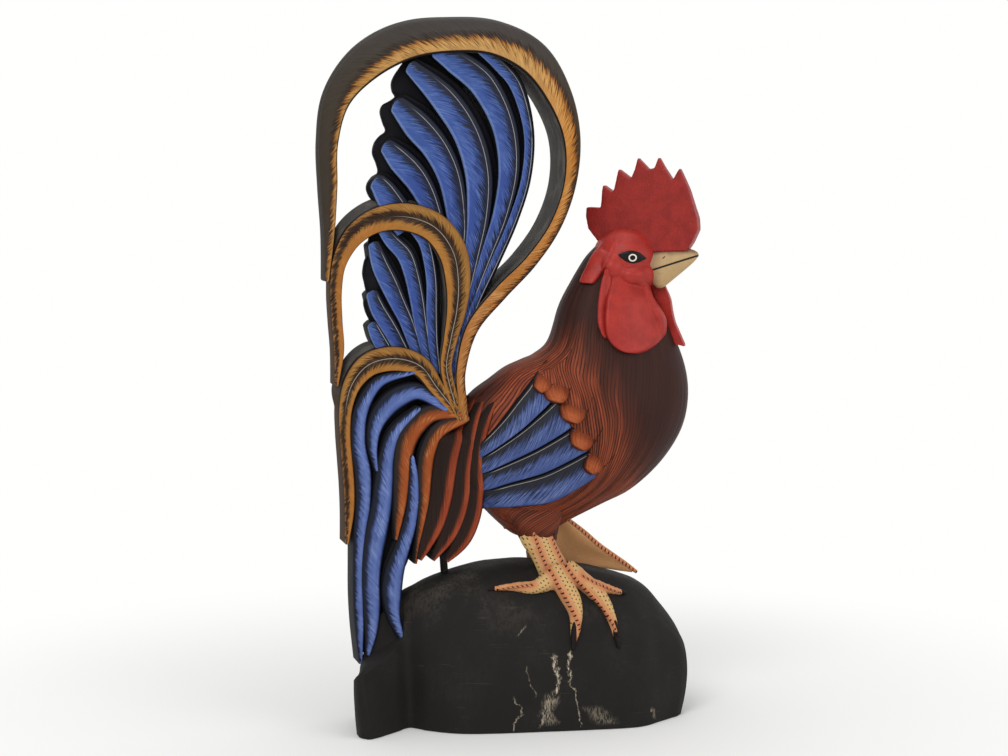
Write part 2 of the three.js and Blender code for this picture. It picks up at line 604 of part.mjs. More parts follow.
const rooster = new THREE.Group();
rooster.add(
  piece('base_mound', base, FINISH.base),
  piece('near_leg', nearLeg, FINISH.leg),
  piece('far_leg', farLeg, FINISH.leg),
  piece('near_foot_dowel', peg(nearFoot), FINISH.dowel),
  piece('far_foot_dowel', peg(FOOT_DOWEL), FINISH.dowel),
  piece('near_thigh_dowel', peg(nearThigh), FINISH.dowel),
  piece('far_thigh_dowel', peg(THIGH_DOWEL), FINISH.dowel),
  piece('rump_prop_peg', peg(PROP_PEG), FINISH.base),
  piece('body', body, FINISH.body),
  piece('near_wing', wing(1), FINISH.wing),
  piece('far_wing', wing(-1), FINISH.wing),
  piece('near_shoulder_scallops', scallops(1), FINISH.rust),
  piece('far_shoulder_scallops', scallops(-1), FINISH.rust),
  piece('saddle_plumes', plumes, FINISH.plume),
  piece('outer_hoop_feather', outerHoop, FINISH.hoop),
  piece('middle_hoop_feather', middleHoop, FINISH.hoop),
  piece('lower_hoop_feather', lowerHoop, FINISH.hoop),
  piece('upper_tail_fan', upperFan, FINISH.blue),
  piece('middle_tail_fan', middleFan, FINISH.blue),
  ...sickles.map((solid, i) => piece(sickleNames[i], solid, sickleFinishes[i])),
);

const headGroup = new THREE.Group();
headGroup.applyMatrix4(headPlace);
headGroup.add(
  piece('head', head, FINISH.red),
  piece('comb', comb, FINISH.comb),
  piece('beak', beak, FINISH.beak),
  piece('near_wattle', wattle(1), FINISH.red),
  piece('far_wattle', wattle(-1), FINISH.red),
  piece('near_ear_lobe', lobe(1), FINISH.red),
  piece('far_ear_lobe', lobe(-1), FINISH.red),
  piece('neck_dowel', peg(NECK_DOWEL), FINISH.dowel),
  piece('comb_dowel', peg(COMB_DOWEL), FINISH.dowel),
);
rooster.add(headGroup);

export default rooster;
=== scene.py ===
"""Painted wooden rooster: carved relief and brushed paint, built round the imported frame."""

import logging
import math
from collections.abc import Callable
from dataclasses import dataclass, field, replace
from enum import Enum

import bmesh
import bpy
import numpy as np
from mathutils import Matrix, Vector
from mathutils.bvhtree import BVHTree
from mathutils.geometry import tessellate_polygon


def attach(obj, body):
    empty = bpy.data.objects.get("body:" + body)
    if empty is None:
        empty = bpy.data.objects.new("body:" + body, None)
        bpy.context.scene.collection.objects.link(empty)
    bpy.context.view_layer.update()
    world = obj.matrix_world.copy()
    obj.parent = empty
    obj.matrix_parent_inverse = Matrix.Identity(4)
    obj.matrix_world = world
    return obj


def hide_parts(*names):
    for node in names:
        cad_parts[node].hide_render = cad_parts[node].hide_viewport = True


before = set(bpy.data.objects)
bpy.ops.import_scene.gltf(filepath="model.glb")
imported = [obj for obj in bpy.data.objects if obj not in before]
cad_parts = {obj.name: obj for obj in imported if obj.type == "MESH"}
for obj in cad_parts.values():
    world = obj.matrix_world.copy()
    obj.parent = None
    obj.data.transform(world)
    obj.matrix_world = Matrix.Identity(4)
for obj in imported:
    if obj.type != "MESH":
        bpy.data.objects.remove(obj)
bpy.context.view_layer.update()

LOG = logging.getLogger("rooster")

Grid = np.ndarray
Material = bpy.types.Material
Mesh = bpy.types.Mesh
Rows = tuple[tuple[float, ...], ...]
Colour = tuple[float, float, float]
Stops = tuple[tuple[float, Colour], ...]

MM = 0.001
BODY_NAME = "root"
WHITE: Colour = (1.0, 1.0, 1.0)
NO_PAINT: Colour = (0.0, 0.0, 0.0)

# Tail plank, as the frame has it: its free edge, taper and half depths, in millimetres.
PLANK_EDGE_X = -222.0
PLANK_TAPER = 250.0
PLANK_EDGE_HALF = 12.0
PLANK_ROOT_HALF = 36.0

# The head's place: it is turned towards the viewer about the neck.
HEAD_X = 142.0
HEAD_TURN = math.radians(-35.0)

# The mouth line in the head's own frame: its height where x is 0, and its slope.
MOUTH_Z = 502.2
MOUTH_SLOPE = 0.33

# Radius of the pale ring in the painted eye, in millimetres.
EYE_RING = 3.6


class Side(Enum):
    """A side of the carving, by the sign of Y."""

    NEAR = -1.0
    FAR = 1.0

    def label(self, name: str) -> str:
        """Name of a piece on this side."""
        return f"{self.name.lower()}_{name}"


def tint(red: int, green: int, blue: int) -> Colour:
    """Linear colour of a paint named by its display values from 0 to 255."""
    shares = (v / 255 for v in (red, green, blue))
    return tuple(v / 12.92 if v <= 0.04045 else ((v + 0.055) / 1.055) ** 2.4 for v in shares)


def spline(rows: Rows, per_span: int) -> Grid:
    """Smooth curve through rows of numbers.

    Args:
        rows: Control rows, each with as many numbers as the curve has columns.
        per_span: Samples from one row to the next.

    Returns:
        The sampled rows, both ends included.
    """
    table = np.asarray(rows, float)
    last = len(table) - 1
    at = np.linspace(0, last, last * per_span + 1)
    base = np.minimum(at.astype(int), last - 1)
    t = (at - base)[:, None]
    a, b, c, d = (table[np.clip(base + k, 0, last)] for k in (-1, 0, 1, 2))
    bend = (2 * a - 5 * b + 4 * c - d) * t**2 + (3 * b - a - 3 * c + d) * t**3
    return 0.5 * (2 * b + (c - a) * t + bend)


def walked(points: Grid) -> Grid:
    """Distance walked to each point of a line."""
    return np.concatenate([[0.0], np.cumsum(np.linalg.norm(np.diff(points, axis=0), axis=-1))])


def evenly(rows: Rows, step: float) -> Grid:
    """Smooth curve whose first two columns are walked in equal steps.

    Args:
        rows: Control rows; the first two columns are a place in millimetres.
        step: Distance from one sample to the next, in millimetres.

    Returns:
        Rows of the distance walked, followed by the control columns.
    """
    curve = spline(rows, 24)
    run = walked(curve[:, :2])
    even = np.linspace(0, run[-1], max(int(run[-1] / step), 6) + 1)
    return np.column_stack([even, *(np.interp(even, run, column) for column in curve.T)])


def smooth_step(low: float, high: float, value: Grid) -> Grid:
    """Soft rise from 0 to 1 as the value goes from low to high."""
    t = np.clip((value - low) / (high - low), 0, 1)
    return t * t * (3 - 2 * t)


def quarter_round(inset: Grid) -> Grid:
    """Rise of a rounded edge, from 0 at its rim to 1 one radius in."""
    return np.sqrt(np.maximum(1 - (1 - np.clip(inset, 0, 1)) ** 2, 0))


def stack(*parts: Grid | float) -> Grid:
    """Values spread over one grid and set side by side in its last axis."""
    return np.stack(np.broadcast_arrays(*parts), -1)


def unit(vectors: Grid) -> Grid:
    """Vectors brought to a length of one."""
    return vectors / (np.linalg.norm(vectors, axis=-1, keepdims=True) + 1e-9)


def circle(count: int) -> Grid:
    """Row of equal turns round a circle, in radians."""
    return np.linspace(0, 2 * np.pi, count, endpoint=False)[None]


def bowed(value: Grid, power: float) -> Grid:
    """Value raised to a power with its sign kept, which squares a ring."""
    return np.sign(value) * np.abs(value) ** power


class Grain:
    """Seeded smooth noise over two coordinates, for knife marks that the mesh carries."""

    def __init__(self, seed: int) -> None:
        """Draws the lattice of heights for a seed."""
        self.table = np.random.default_rng(seed).random((256, 256))

    def at(self, x: Grid, y: Grid) -> Grid:
        """Noise at places.

        Args:
            x: Places along the first coordinate, one unit to a blob.
            y: Places along the second.

        Returns:
            Heights from 0 to 1.
        """
        x, y = np.broadcast_arrays(np.asarray(x, float), np.asarray(y, float))
        column, row = np.floor(x).astype(int), np.floor(y).astype(int)
        u, v = x - column, y - row
        u, v = u * u * (3 - 2 * u), v * v * (3 - 2 * v)
        pick = [self.table[(column + i) % 256, (row + j) % 256] for i in (0, 1) for j in (0, 1)]
        return (pick[0] * (1 - v) + pick[1] * v) * (1 - u) + (pick[2] * (1 - v) + pick[3] * v) * u


# Paint

class Wire:
    """One shader value, whose sums are written as Python expressions."""

    def __init__(self, brush: "Brush", socket: bpy.types.NodeSocket) -> None:
        """Wraps an output socket of the brush's node tree."""
        self.brush = brush
        self.socket = socket

    def calc(self, operation: str, *others: "Amount") -> "Wire":
        """Result of a Math node with this value as its first input."""
        return self.brush.math(operation, self, *others)

    def __add__(self, other: "Amount") -> "Wire":
        """Sum with another value."""
        return self.calc("ADD", other)

    __radd__ = __add__

    def __sub__(self, other: "Amount") -> "Wire":
        """This value less another."""
        return self.calc("SUBTRACT", other)

    def __rsub__(self, other: float) -> "Wire":
        """Another value less this one."""
        return self.brush.math("SUBTRACT", other, self)

    def __mul__(self, other: "Amount") -> "Wire":
        """Product with another value."""
        return self.calc("MULTIPLY", other)

    __rmul__ = __mul__

    def __truediv__(self, other: "Amount") -> "Wire":
        """This value over another."""
        return self.calc("DIVIDE", other)

    def __abs__(self) -> "Wire":
        """Size of the value without its sign."""
        return self.calc("ABSOLUTE")

    def rise(self, low: float, high: float) -> "Wire":
        """Soft step from 0 at low to 1 at high."""
        ends = {"Value": self, "From Min": low, "From Max": high}
        return self.brush.wire("ShaderNodeMapRange", {"interpolation_type": "SMOOTHSTEP"}, ends, "Result")

    def fall(self, low: float, high: float) -> "Wire":
        """Soft step from 1 at low to 0 at high."""
        return 1 - self.rise(low, high)


Amount = Wire | float


class Brush:
    """Node tree of a paint, or of the studio's surroundings."""

    def __init__(self, block: Material | bpy.types.World) -> None:
        """Opens a node tree.

        Args:
            block: The material or world that it belongs to.
        """
        block.use_nodes = True
        self.block = block
        self.tree = block.node_tree

    def feed(self, node: bpy.types.Node, inputs: dict) -> None:
        """Links or sets a node's sockets.

        Args:
            node: The node.
            inputs: Wires or values of its sockets, by name or number.
        """
        for key, value in inputs.items():
            socket = node.inputs[key]
            if isinstance(value, Wire):
                self.tree.links.new(value.socket, socket)
            elif isinstance(value, tuple) and socket.type == "RGBA":
                socket.default_value = (*value, 1.0)
            else:
                socket.default_value = value

    def node(self, kind: str, settings: dict | None = None, inputs: dict | None = None) -> bpy.types.Node:
        """Adds a node.

        Args:
            kind: The node's type.
            settings: Its properties, and a ramp's colour stops as "stops".
            inputs: Wires or values of its sockets, by name or number.

        Returns:
            The new node.
        """
        made = self.tree.nodes.new(kind)
        for key, value in (settings or {}).items():
            if key == "stops":
                self.set_stops(made.color_ramp, value)
            else:
                setattr(made, key, value)
        self.feed(made, inputs or {})
        return made

    def wire(
        self, kind: str, settings: dict | None = None, inputs: dict | None = None, out: int | str = 0,
    ) -> Wire:
        """Output of a new node, its first unless another is named."""
        return Wire(self, self.node(kind, settings, inputs).outputs[out])

    @staticmethod
    def set_stops(ramp: bpy.types.ColorRamp, stops: Stops) -> None:
        """Puts the colour stops on a ramp.

        Args:
            ramp: The ramp.
            stops: Its places from 0 to 1, each with a colour.
        """
        while len(ramp.elements) > 1:
            ramp.elements.remove(ramp.elements[-1])
        for i, (place, colour) in enumerate(stops):
            element = ramp.elements[0] if i == 0 else ramp.elements.new(place)
            element.position = place
            element.color = (*colour, 1.0)

    def math(self, operation: str, *values: Amount) -> Wire:
        """Result of one Math node."""
        return self.wire("ShaderNodeMath", {"operation": operation}, dict(enumerate(values)))

    def split(self, vector: Wire) -> tuple[Wire, ...]:
        """The three parts of a vector."""
        made = self.node("ShaderNodeSeparateXYZ", None, {0: vector})
        return tuple(Wire(self, socket) for socket in made.outputs)

    def carved(self, name: str) -> tuple[Wire, ...]:
        """Parts of the coordinates that the mesh carries under a name."""
        return self.split(self.wire("ShaderNodeAttribute", {"attribute_name": name}, out="Vector"))

    def place(self) -> tuple[Wire, ...]:
        """Place on the object, in millimetres."""
        return tuple(part * (1 / MM) for part in self.split(self.wire("ShaderNodeTexCoord", out="Object")))

    def noise(self, x: Amount, y: Amount, z: Amount, detail: float = 2.0, rough: float = 0.5) -> Wire:
        """Noise from 0 to 1 whose blobs are about one unit wide."""
        spot = self.wire("ShaderNodeCombineXYZ", None, {0: x, 1: y, 2: z})
        return self.wire("ShaderNodeTexNoise", None, {
            "Vector": spot, "Scale": 1.0, "Detail": detail, "Roughness": rough,
        })

    def ramp(self, factor: Wire, stops: Stops) -> Wire:
        """Colour picked from stops by a factor from 0 to 1."""
        return self.wire("ShaderNodeValToRGB", {"stops": stops}, {0: factor})

    def mix(self, factor: Amount, first: object, second: object, mode: str = "MIX") -> Wire:
        """Colour between two, or one blended over the other by a mode."""
        settings = {"data_type": "RGBA", "blend_type": mode, "clamp_factor": True}
        return self.wire("ShaderNodeMix", settings, {0: factor, 6: first, 7: second}, 2)

    def shade(self, colour: Wire | Colour, level: Wire) -> Wire:
        """Colour scaled by a brightness that varies about 1."""
        return self.wire("ShaderNodeVectorMath", {"operation": "SCALE"}, {0: colour, "Scale": level})

    def close(
        self, colour: Wire, roughness: Amount, height: Wire, depth: float, coat: float = 0.0,
        sheen: float = 0.12,
    ) -> Material:
        """Feeds the shader and gives the finished paint.

        Args:
            colour: Base colour.
            roughness: Roughness, a value or a wire.
            height: Height of the surface from 0 to 1.
            depth: What a height of 1 measures, in millimetres.
            coat: Weight of the varnish.
            sheen: How strongly the paint mirrors its surroundings; 0.5 is plain varnish.

        Returns:
            The material.
        """
        bump = self.wire("ShaderNodeBump", None, {"Strength": 1.0, "Distance": depth * MM, "Height": height})
        self.feed(self.tree.nodes["Principled BSDF"], {
            "Base Color": colour, "Roughness": roughness, "Specular IOR Level": sheen, "Coat Weight": coat,
            "Coat Roughness": 0.3, "Normal": bump,
        })
        return self.block


@dataclass(frozen=True)
class Coat:
    """A paint, known by its name."""

    name: str

    def brush(self) -> Brush:
        """Brush for a new material of that name."""
        return Brush(bpy.data.materials.new(self.name))

    def mixed(self) -> Material:
        """The material, which each kind of coat builds in its own way."""
        raise NotImplementedError


@dataclass(frozen=True)
class FeatherCoat(Coat):
    """Brushed feather paint: colour bands across, which run into each other along slanting barb strokes."""

    bands: Stops
    stroke: Colour
    rag: float = 10.0
    slant: float = 1.6
    quill: float = 0.0
    seam: tuple[tuple[float, float], ...] = ((0.0, 0.0), (1.0, 0.0))
    zone: tuple[float, float, float, float] = (-0.8, -0.4, 0.4, 0.7)
    quill_colour: Colour | None = None
    quill_half: float = 0.6
    quill_from: float = 0.06
    inked: float = 0.7
    # Tone along the feather's length, multiplied in: a tint on some coats, painted shade and painted
    # highlight on others.
    tint_and_shade_along: Stops = ((0.0, WHITE), (1.0, WHITE))
    edge: tuple[float, Colour] = (1.0, NO_PAINT)
    inner: tuple[float, Colour] = (-1.2, NO_PAINT)
    flecked: float = 0.16
    fleck_zone: tuple[float, float] = (-1.4, 1.4)
    roughness: float = 0.5
    fleck: Colour = tint(160, 176, 214)

    def mixed(self) -> Material:
        """Mixes the paint.

        Returns:
            The material.
        """
        b = self.brush()
        along, across, half = b.carved("lay")
        seed, share, _ = b.carved("mood")
        off = (across - self.quill) * half
        away = abs(off)
        barb = along + away * self.slant
        tooth = b.noise(barb / 1.15, away / 16, seed * 9.1, 0.0)
        lock = b.noise(barb / 3.4, away / 24, seed * 5.7, 1.0)
        hair = b.noise(barb / 0.75, away / 9, seed * 3.3, 0.0)
        patch = b.noise(along / 30, off / 11, seed * 4.4, 3.0)
        course = tuple((at, ((v + 1) / 2,) * 3) for at, v in self.seam)
        seam = b.ramp(share, course).calc("MULTIPLY", 2.0) - 1.0
        place = across - seam
        low, full, easing, high = self.zone
        zone = place.rise(low, full) * place.fall(easing, high)
        torn = ((tooth - 0.5) * 1.5 + (lock - 0.5) * 0.9) * self.rag / half
        colour = b.ramp((place + torn * zone + 1) * 0.5, tuple(((v + 1) / 2, c) for v, c in self.bands))
        # Tone along the length; on the fan, plume, wing and scallop coats this is painted shade.
        colour = b.mix(1.0, colour, b.ramp(share, self.tint_and_shade_along), "MULTIPLY")
        colour = b.shade(colour, 0.74 + patch * 0.34 + lock * 0.2)
        ink = hair.rise(0.55, 0.63) * self.inked * (0.2 + zone * 0.8) * patch.rise(0.2, 0.42)
        colour = b.mix(ink, colour, self.stroke)
        first, last = self.fleck_zone
        lit = hair.fall(0.36, 0.45) * patch.rise(0.4, 0.6) * self.flecked
        lit = lit * place.rise(first, first + 0.12) * place.fall(last - 0.12, last)
        colour = b.mix(lit, colour, self.fleck)
        rim, rim_colour = self.edge
        colour = b.mix(across.rise(rim, rim + 0.06), colour, rim_colour)
        lip, lip_colour = self.inner
        colour = b.mix(across.fall(lip - 0.06, lip), colour, lip_colour)
        if self.quill_colour:
            line = away.fall(self.quill_half * 0.6, self.quill_half)
            line = line * share.rise(self.quill_from, self.quill_from + 0.1)
            line = line * b.noise(along / 16, 0.0, seed * 2.0).rise(0.2, 0.42)
            colour = b.mix(line, colour, self.quill_colour)
        return b.close(colour, self.roughness + patch * 0.14, hair * 0.4 + tooth * 0.3 + lock * 0.3, 0.5)


@dataclass(frozen=True)
class WallCoat(Coat):
    """Thin paint on sawn side walls, with the tool's scratches showing."""

    colour: Colour
    worn: Colour
    wear: float = 0.35
    limb: tuple[float, Colour] = (-1.0, NO_PAINT)

    def mixed(self) -> Material:
        """Mixes the paint.

        Returns:
            The material.
        """
        b = self.brush()
        x, y, z = b.place()
        cloud = b.noise(x / 26, y / 14, z / 26, 4.0, 0.6)
        saw = b.noise(x / 7, y / 1.1, z / 7, 3.0, 0.6)
        speck = b.noise(x / 1.6, y / 1.6, z / 1.6, 2.0)
        _, share, _ = b.carved("mood")
        colour = b.mix(cloud.rise(0.42, 0.72) * self.wear, self.colour, self.worn)
        ends, limb_colour = self.limb
        colour = b.mix(share.fall(ends - 0.03, ends + 0.03), colour, b.shade(limb_colour, 0.8 + saw * 0.4))
        colour = b.shade(colour, 0.8 + saw * 0.28 + speck * 0.14)
        return b.close(colour, 0.66 + saw * 0.14, saw * 0.7 + speck * 0.3, 0.35)


@dataclass(frozen=True)
class StreakCoat(Coat):
    """Body paint: maroon ground with long rust streaks and thin black knife lines."""

    cold: Colour = tint(51, 26, 21)
    ground: Colour = tint(76, 36, 25)
    rust: Colour = tint(122, 56, 34)
    bright: Colour = tint(172, 88, 54)
    line: Colour = tint(26, 14, 12)

    def mixed(self) -> Material:
        """Mixes the paint.

        Returns:
            The material.
        """
        b = self.brush()
        along, across, _ = b.carved("lay")
        _, warmth, groove = b.carved("mood")
        bend = b.noise(along / 70, across / 26, 2.0, 2.0) * 2.2
        lock = b.noise(along / 110, across / 9, 7.0, 1.0)
        hair = b.noise(along / 55, across / 1.1, 0.0, 1.0)
        broken = b.noise(along / 26, across / 2.2, 5.0, 1.0)
        strand = abs(b.math("FRACT", across / 3.6 + bend) - 0.5)
        glow = warmth + (lock - 0.5) * 0.7 + (hair - 0.5) * 0.5
        colour = b.mix(glow.rise(0.05, 0.5), self.cold, self.ground)
        colour = b.mix(glow.rise(0.45, 0.95), colour, self.rust)
        lit = (0.24 - strand).rise(0.0, 0.2) * broken.rise(0.4, 0.6) * glow.rise(0.5, 1.1) * 0.75
        colour = b.shade(b.mix(lit, colour, self.bright), 0.8 + lock * 0.2 + hair * 0.2)
        ink = strand.rise(0.3, 0.44) * broken.rise(0.3, 0.46) * (0.3 + warmth * 0.6)
        colour = b.mix(ink + groove * 0.5, colour, self.line)
        return b.close(colour, 0.46 + hair * 0.16, hair * 0.4 - ink * 0.6, 0.5, sheen=0.14)


@dataclass(frozen=True)
class RedCoat(Coat):
    """Satin red of the comb, face and wattles, clouded and rubbed."""

    colour: Colour
    deep: Colour
    rubbed: Colour = tint(206, 104, 88)

    def mixed(self) -> Material:
        """Mixes the paint.

        Returns:
            The material.
        """
        b = self.brush()
        x, y, z = b.place()
        cloud = b.noise(x / 16, y / 16, z / 16, 3.0, 0.55)
        grain = b.noise(x / 2.2, y / 2.2, z / 3.5, 3.0)
        fleck = b.noise(x / 1.1, y / 1.1, z / 1.1, 1.0)
        colour = b.mix(cloud.rise(0.35, 0.75) * 0.6, self.colour, self.deep)
        colour = b.shade(colour, 0.88 + grain * 0.2)
        colour = b.mix(fleck.rise(0.68, 0.76) * cloud.fall(0.5, 0.62) * 0.45, colour, self.rubbed)
        return b.close(colour, 0.36 + grain * 0.14, grain * 0.5 + cloud * 0.5, 0.7, 0.06, 0.2)


@dataclass(frozen=True)
class EyeCoat(Coat):
    """Painted eye: black almond with a pale ring, drawn from its middle."""

    ring_half: float = 0.75

    def mixed(self) -> Material:
        """Mixes the paint.

        Returns:
            The material.
        """
        b = self.brush()
        x, z, _ = b.carved("lay")
        away = b.math("SQRT", x * x + z * z)
        worn = b.noise(x / 1.2, z / 1.2, 0.0)
        rim = abs(away - EYE_RING).fall(self.ring_half * 0.8, self.ring_half * 1.2)
        colour = b.mix(rim, b.mix(worn * 0.3, tint(14, 12, 12), tint(40, 32, 30)), tint(226, 220, 206))
        return b.close(colour, 0.3 + worn * 0.1, worn, 0.1, 0.05, 0.12)


@dataclass(frozen=True)
class BeakCoat(Coat):
    """Horn paint with a greyish root and ridge, a black mouth line and a nostril."""

    name: str = "beak_paint"

    def mixed(self) -> Material:
        """Mixes the paint.

        Returns:
            The material.
        """
        b = self.brush()
        x, y, z = b.carved("lay")
        cloud = b.noise(x / 9, y / 9, z / 9, 3.0)
        grain = b.noise(x / 5, y / 1.2, z / 1.2, 2.0)
        colour = b.mix(cloud * 0.6, tint(190, 160, 114), tint(158, 130, 92))
        root = (x + (cloud - 0.5) * 12).fall(36, 50)
        crest = (z + (cloud - 0.5) * 6).rise(530, 537)
        colour = b.mix(root * 0.6 + crest * 0.75, colour, tint(112, 80, 66))
        gape = abs(z - (MOUTH_Z + x * MOUTH_SLOPE)).fall(0.8, 1.4)
        nostril = (abs(x - 49 - (z - 528) * 0.8) * 0.6 + abs(z - 529) * 0.35).fall(0.55, 1.0)
        colour = b.mix(gape + nostril * 0.9, b.shade(colour, 0.9 + grain * 0.2), tint(24, 17, 15))
        return b.close(colour, 0.4 + grain * 0.15, grain * 0.6 + cloud * 0.4 - gape, 0.35, 0.05, 0.2)


@dataclass(frozen=True)
class LegCoat(Coat):
    """Cream leg skin with rows of small dots, and black claw tips."""

    cream: Colour = tint(208, 172, 116)
    flush: Colour = tint(196, 132, 92)
    shadow: Colour = tint(146, 114, 74)
    salmon: Colour = tint(204, 128, 90)
    claw: Colour = tint(26, 20, 18)
    dots: float = 1.0
    row_pitch: float = 4.0
    dot_pitch: float = 4.8

    def mixed(self) -> Material:
        """Mixes the paint.

        Returns:
            The material.
        """
        b = self.brush()
        along, across, claw = b.carved("lay")
        _, shade, blush = b.carved("mood")
        cloud = b.noise(along / 14, across / 7, 2.0, 3.0)
        grain = b.noise(along / 2.2, across / 1.6, 5.0, 2.0)
        colour = b.mix(cloud.rise(0.5, 0.8) * 0.4, self.cream, self.flush)
        colour = b.mix(shade, colour, self.shadow)
        colour = b.mix(blush * cloud.rise(0.15, 0.5), colour, self.salmon)
        row = across / self.row_pitch
        lengthways = b.math("FRACT", along / self.dot_pitch + b.math("FLOOR", row) * 0.5) - 0.5
        sideways = b.math("FRACT", row) - 0.5
        spot = (abs(lengthways) * 1.2 + abs(sideways)).fall(0.2, 0.28) * self.dots * blush.fall(0.2, 0.5)
        colour = b.mix(spot * cloud.rise(0.2, 0.3), b.shade(colour, 0.86 + grain * 0.2), tint(44, 28, 14))
        colour = b.mix(claw.rise(0.4, 0.6), colour, self.claw)
        return b.close(colour, 0.5 + grain * 0.15, grain * 0.5 + cloud * 0.5 - spot, 0.45)


@dataclass(frozen=True)
class RidgeCoat(Coat):
    """Salmon ridge of a leg or toe, crossed by short black dashes."""

    name: str = "ridge_paint"
    salmon: Colour = tint(196, 126, 88)
    claw: Colour = tint(26, 20, 18)
    pitch: float = 5.2

    def mixed(self) -> Material:
        """Mixes the paint.

        Returns:
            The material.
        """
        b = self.brush()
        along, across, claw = b.carved("lay")
        cloud = b.noise(along / 12, across, 4.0, 2.0)
        phase = abs(b.math("FRACT", (along + cloud * 1.6 + across * 1.3) / self.pitch) - 0.5)
        dash = phase.fall(0.11, 0.18) * abs(across + 0.1).fall(0.45, 0.7)
        colour = b.mix(abs(across).rise(0.6, 1.0) * 0.75, self.salmon, tint(206, 168, 114))
        colour = b.mix(dash, b.shade(colour, 0.86 + cloud * 0.24), tint(48, 18, 14))
        colour = b.mix(claw.rise(0.4, 0.6), colour, self.claw)
        return b.close(colour, 0.5 + cloud * 0.1, cloud - dash, 0.5)


@dataclass(frozen=True)
class Scuff:
    """Run of bare wood down the front of the log: places as z and x from low to high, and half width."""

    places: tuple[tuple[float, float], ...]
    half: float
    strength: float = 1.0
    reach: float = 200.0

    def worn(self, b: Brush, x: Wire, z: Wire, fray: Wire, drift: Wire) -> Wire:
        """Mask of the scuff on the log's front.

        Args:
            b: The brush.
            x: X of the surface.
            z: Z of the surface.
            fray: Noise from 0 to 1 that breaks its edges.
            drift: Coarser noise from 0 to 1 that bends it.

        Returns:
            The mask.
        """
        low, high = self.places[0][0], self.places[-1][0]
        wide = 2 * self.reach
        course = tuple(((at - low) / (high - low), ((v + self.reach) / wide,) * 3) for at, v in self.places)
        middle = b.ramp((z - low) / (high - low), course).calc("MULTIPLY", wide) - self.reach
        ends = z.rise(low - 3, low + 4) * z.fall(high - 4, high + 3)
        off = abs(x - middle + (fray - 0.5) * 4.0 + (drift - 0.5) * 14.0)
        return off.fall(self.half * 0.3, self.half * 1.3) * ends * fray.rise(0.4, 0.54) * self.strength


@dataclass(frozen=True)
class LogCoat(Coat):
    """Matt charcoal log paint with dust, a pale painted sheen towards the top, scratches, and bare scuffs
    down the front.
    """

    name: str = "log_paint"
    colour: Colour = tint(33, 31, 30)
    dust_and_sheen: Colour = tint(82, 75, 67)
    bare: Colour = tint(196, 182, 160)
    scuffs: tuple[Scuff, ...] = (
        Scuff(((40, 30), (50, 34), (58, 36), (67, 35), (86, 30)), 2.6),
        Scuff(((56, 49), (64, 47), (73, 46), (82, 48), (91, 51)), 1.8),
        Scuff(((4, 62), (16, 59), (28, 57), (40, 55), (54, 51)), 0.9, 0.8),
        Scuff(((8, 26), (20, 22), (30, 24), (42, 29)), 8.0, 0.55),
        Scuff(((6, 15), (16, 17), (26, 21), (42, 28)), 1.5, 0.9),
        Scuff(((0, -18), (11, -15), (20, -9), (28, -8), (40, -16)), 1.3, 0.7),
        Scuff(((40, 8), (56, 3), (73, 0)), 0.8, 0.6),
        Scuff(((108, -8), (112, -3), (118, 2)), 1.6, 0.45),
        Scuff(((6, 92), (14, 84), (26, 74)), 14.0, 0.28),
        Scuff(((6, 150), (12, 149), (18, 148)), 2.4, 0.5),
    )

    def mixed(self) -> Material:
        """Mixes the paint.

        Returns:
            The material.
        """
        b = self.brush()
        x, y, z = b.place()
        cloud = b.noise(x / 60, y / 60, z / 60, 4.0, 0.6)
        grain = b.noise(x / 3.0, y / 3.0, z / 9, 4.0, 0.65)
        speck = b.noise(x / 1.3, y / 1.3, z / 1.3, 1.0)
        fray = b.noise(x / 1.3, y / 4, z / 5.5, 4.0, 0.7)
        drift = b.noise(x / 12, y / 40, z / 9, 3.0, 0.5)
        colour = b.shade(self.colour, 0.62 + cloud * 0.34 + grain * 0.34)
        # Pale patches that grow towards the top of the log: partly dust, partly painted sheen where the
        # light falls on the upper log.
        dust_and_top_sheen = cloud.rise(0.44, 0.7) * (0.06 + z.rise(96, 172) * 0.5) * grain.rise(0.3, 0.6)
        colour = b.mix(dust_and_top_sheen, colour, self.dust_and_sheen)
        worn, *others = (scuff.worn(b, x, z, fray, drift) for scuff in self.scuffs)
        for mask in others:
            worn = worn.calc("MAXIMUM", mask)
        worn = worn * y.fall(-80, -56)
        colour = b.mix(worn, colour, b.mix(fray.rise(0.4, 0.62), self.dust_and_sheen, self.bare))
        scratch = b.noise(x / 34, y / 20, z / 1.4, 2.0).rise(0.66, 0.72) * cloud.rise(0.42, 0.6)
        colour = b.mix(scratch * 0.25 + speck.rise(0.78, 0.84) * 0.4, colour, self.dust_and_sheen)
        return b.close(colour, 0.62 + grain * 0.2 - dust_and_top_sheen * 0.15, grain * 0.6 + cloud * 0.4 - worn * 0.6, 0.8)


@dataclass(frozen=True)
class TimberCoat(Coat):
    """Bare turned dowel wood, with its grain along the dowel."""

    name: str = "dowel_wood"

    def mixed(self) -> Material:
        """Mixes the paint.

        Returns:
            The material.
        """
        b = self.brush()
        x, y, z = b.place()
        grain = b.noise(x / 1.2, y / 1.2, z / 22, 3.0, 0.6)
        colour = b.mix(grain, tint(206, 170, 118), tint(158, 116, 70))
        return b.close(colour, 0.8 + grain * 0.1, grain, 0.3)


# Carving

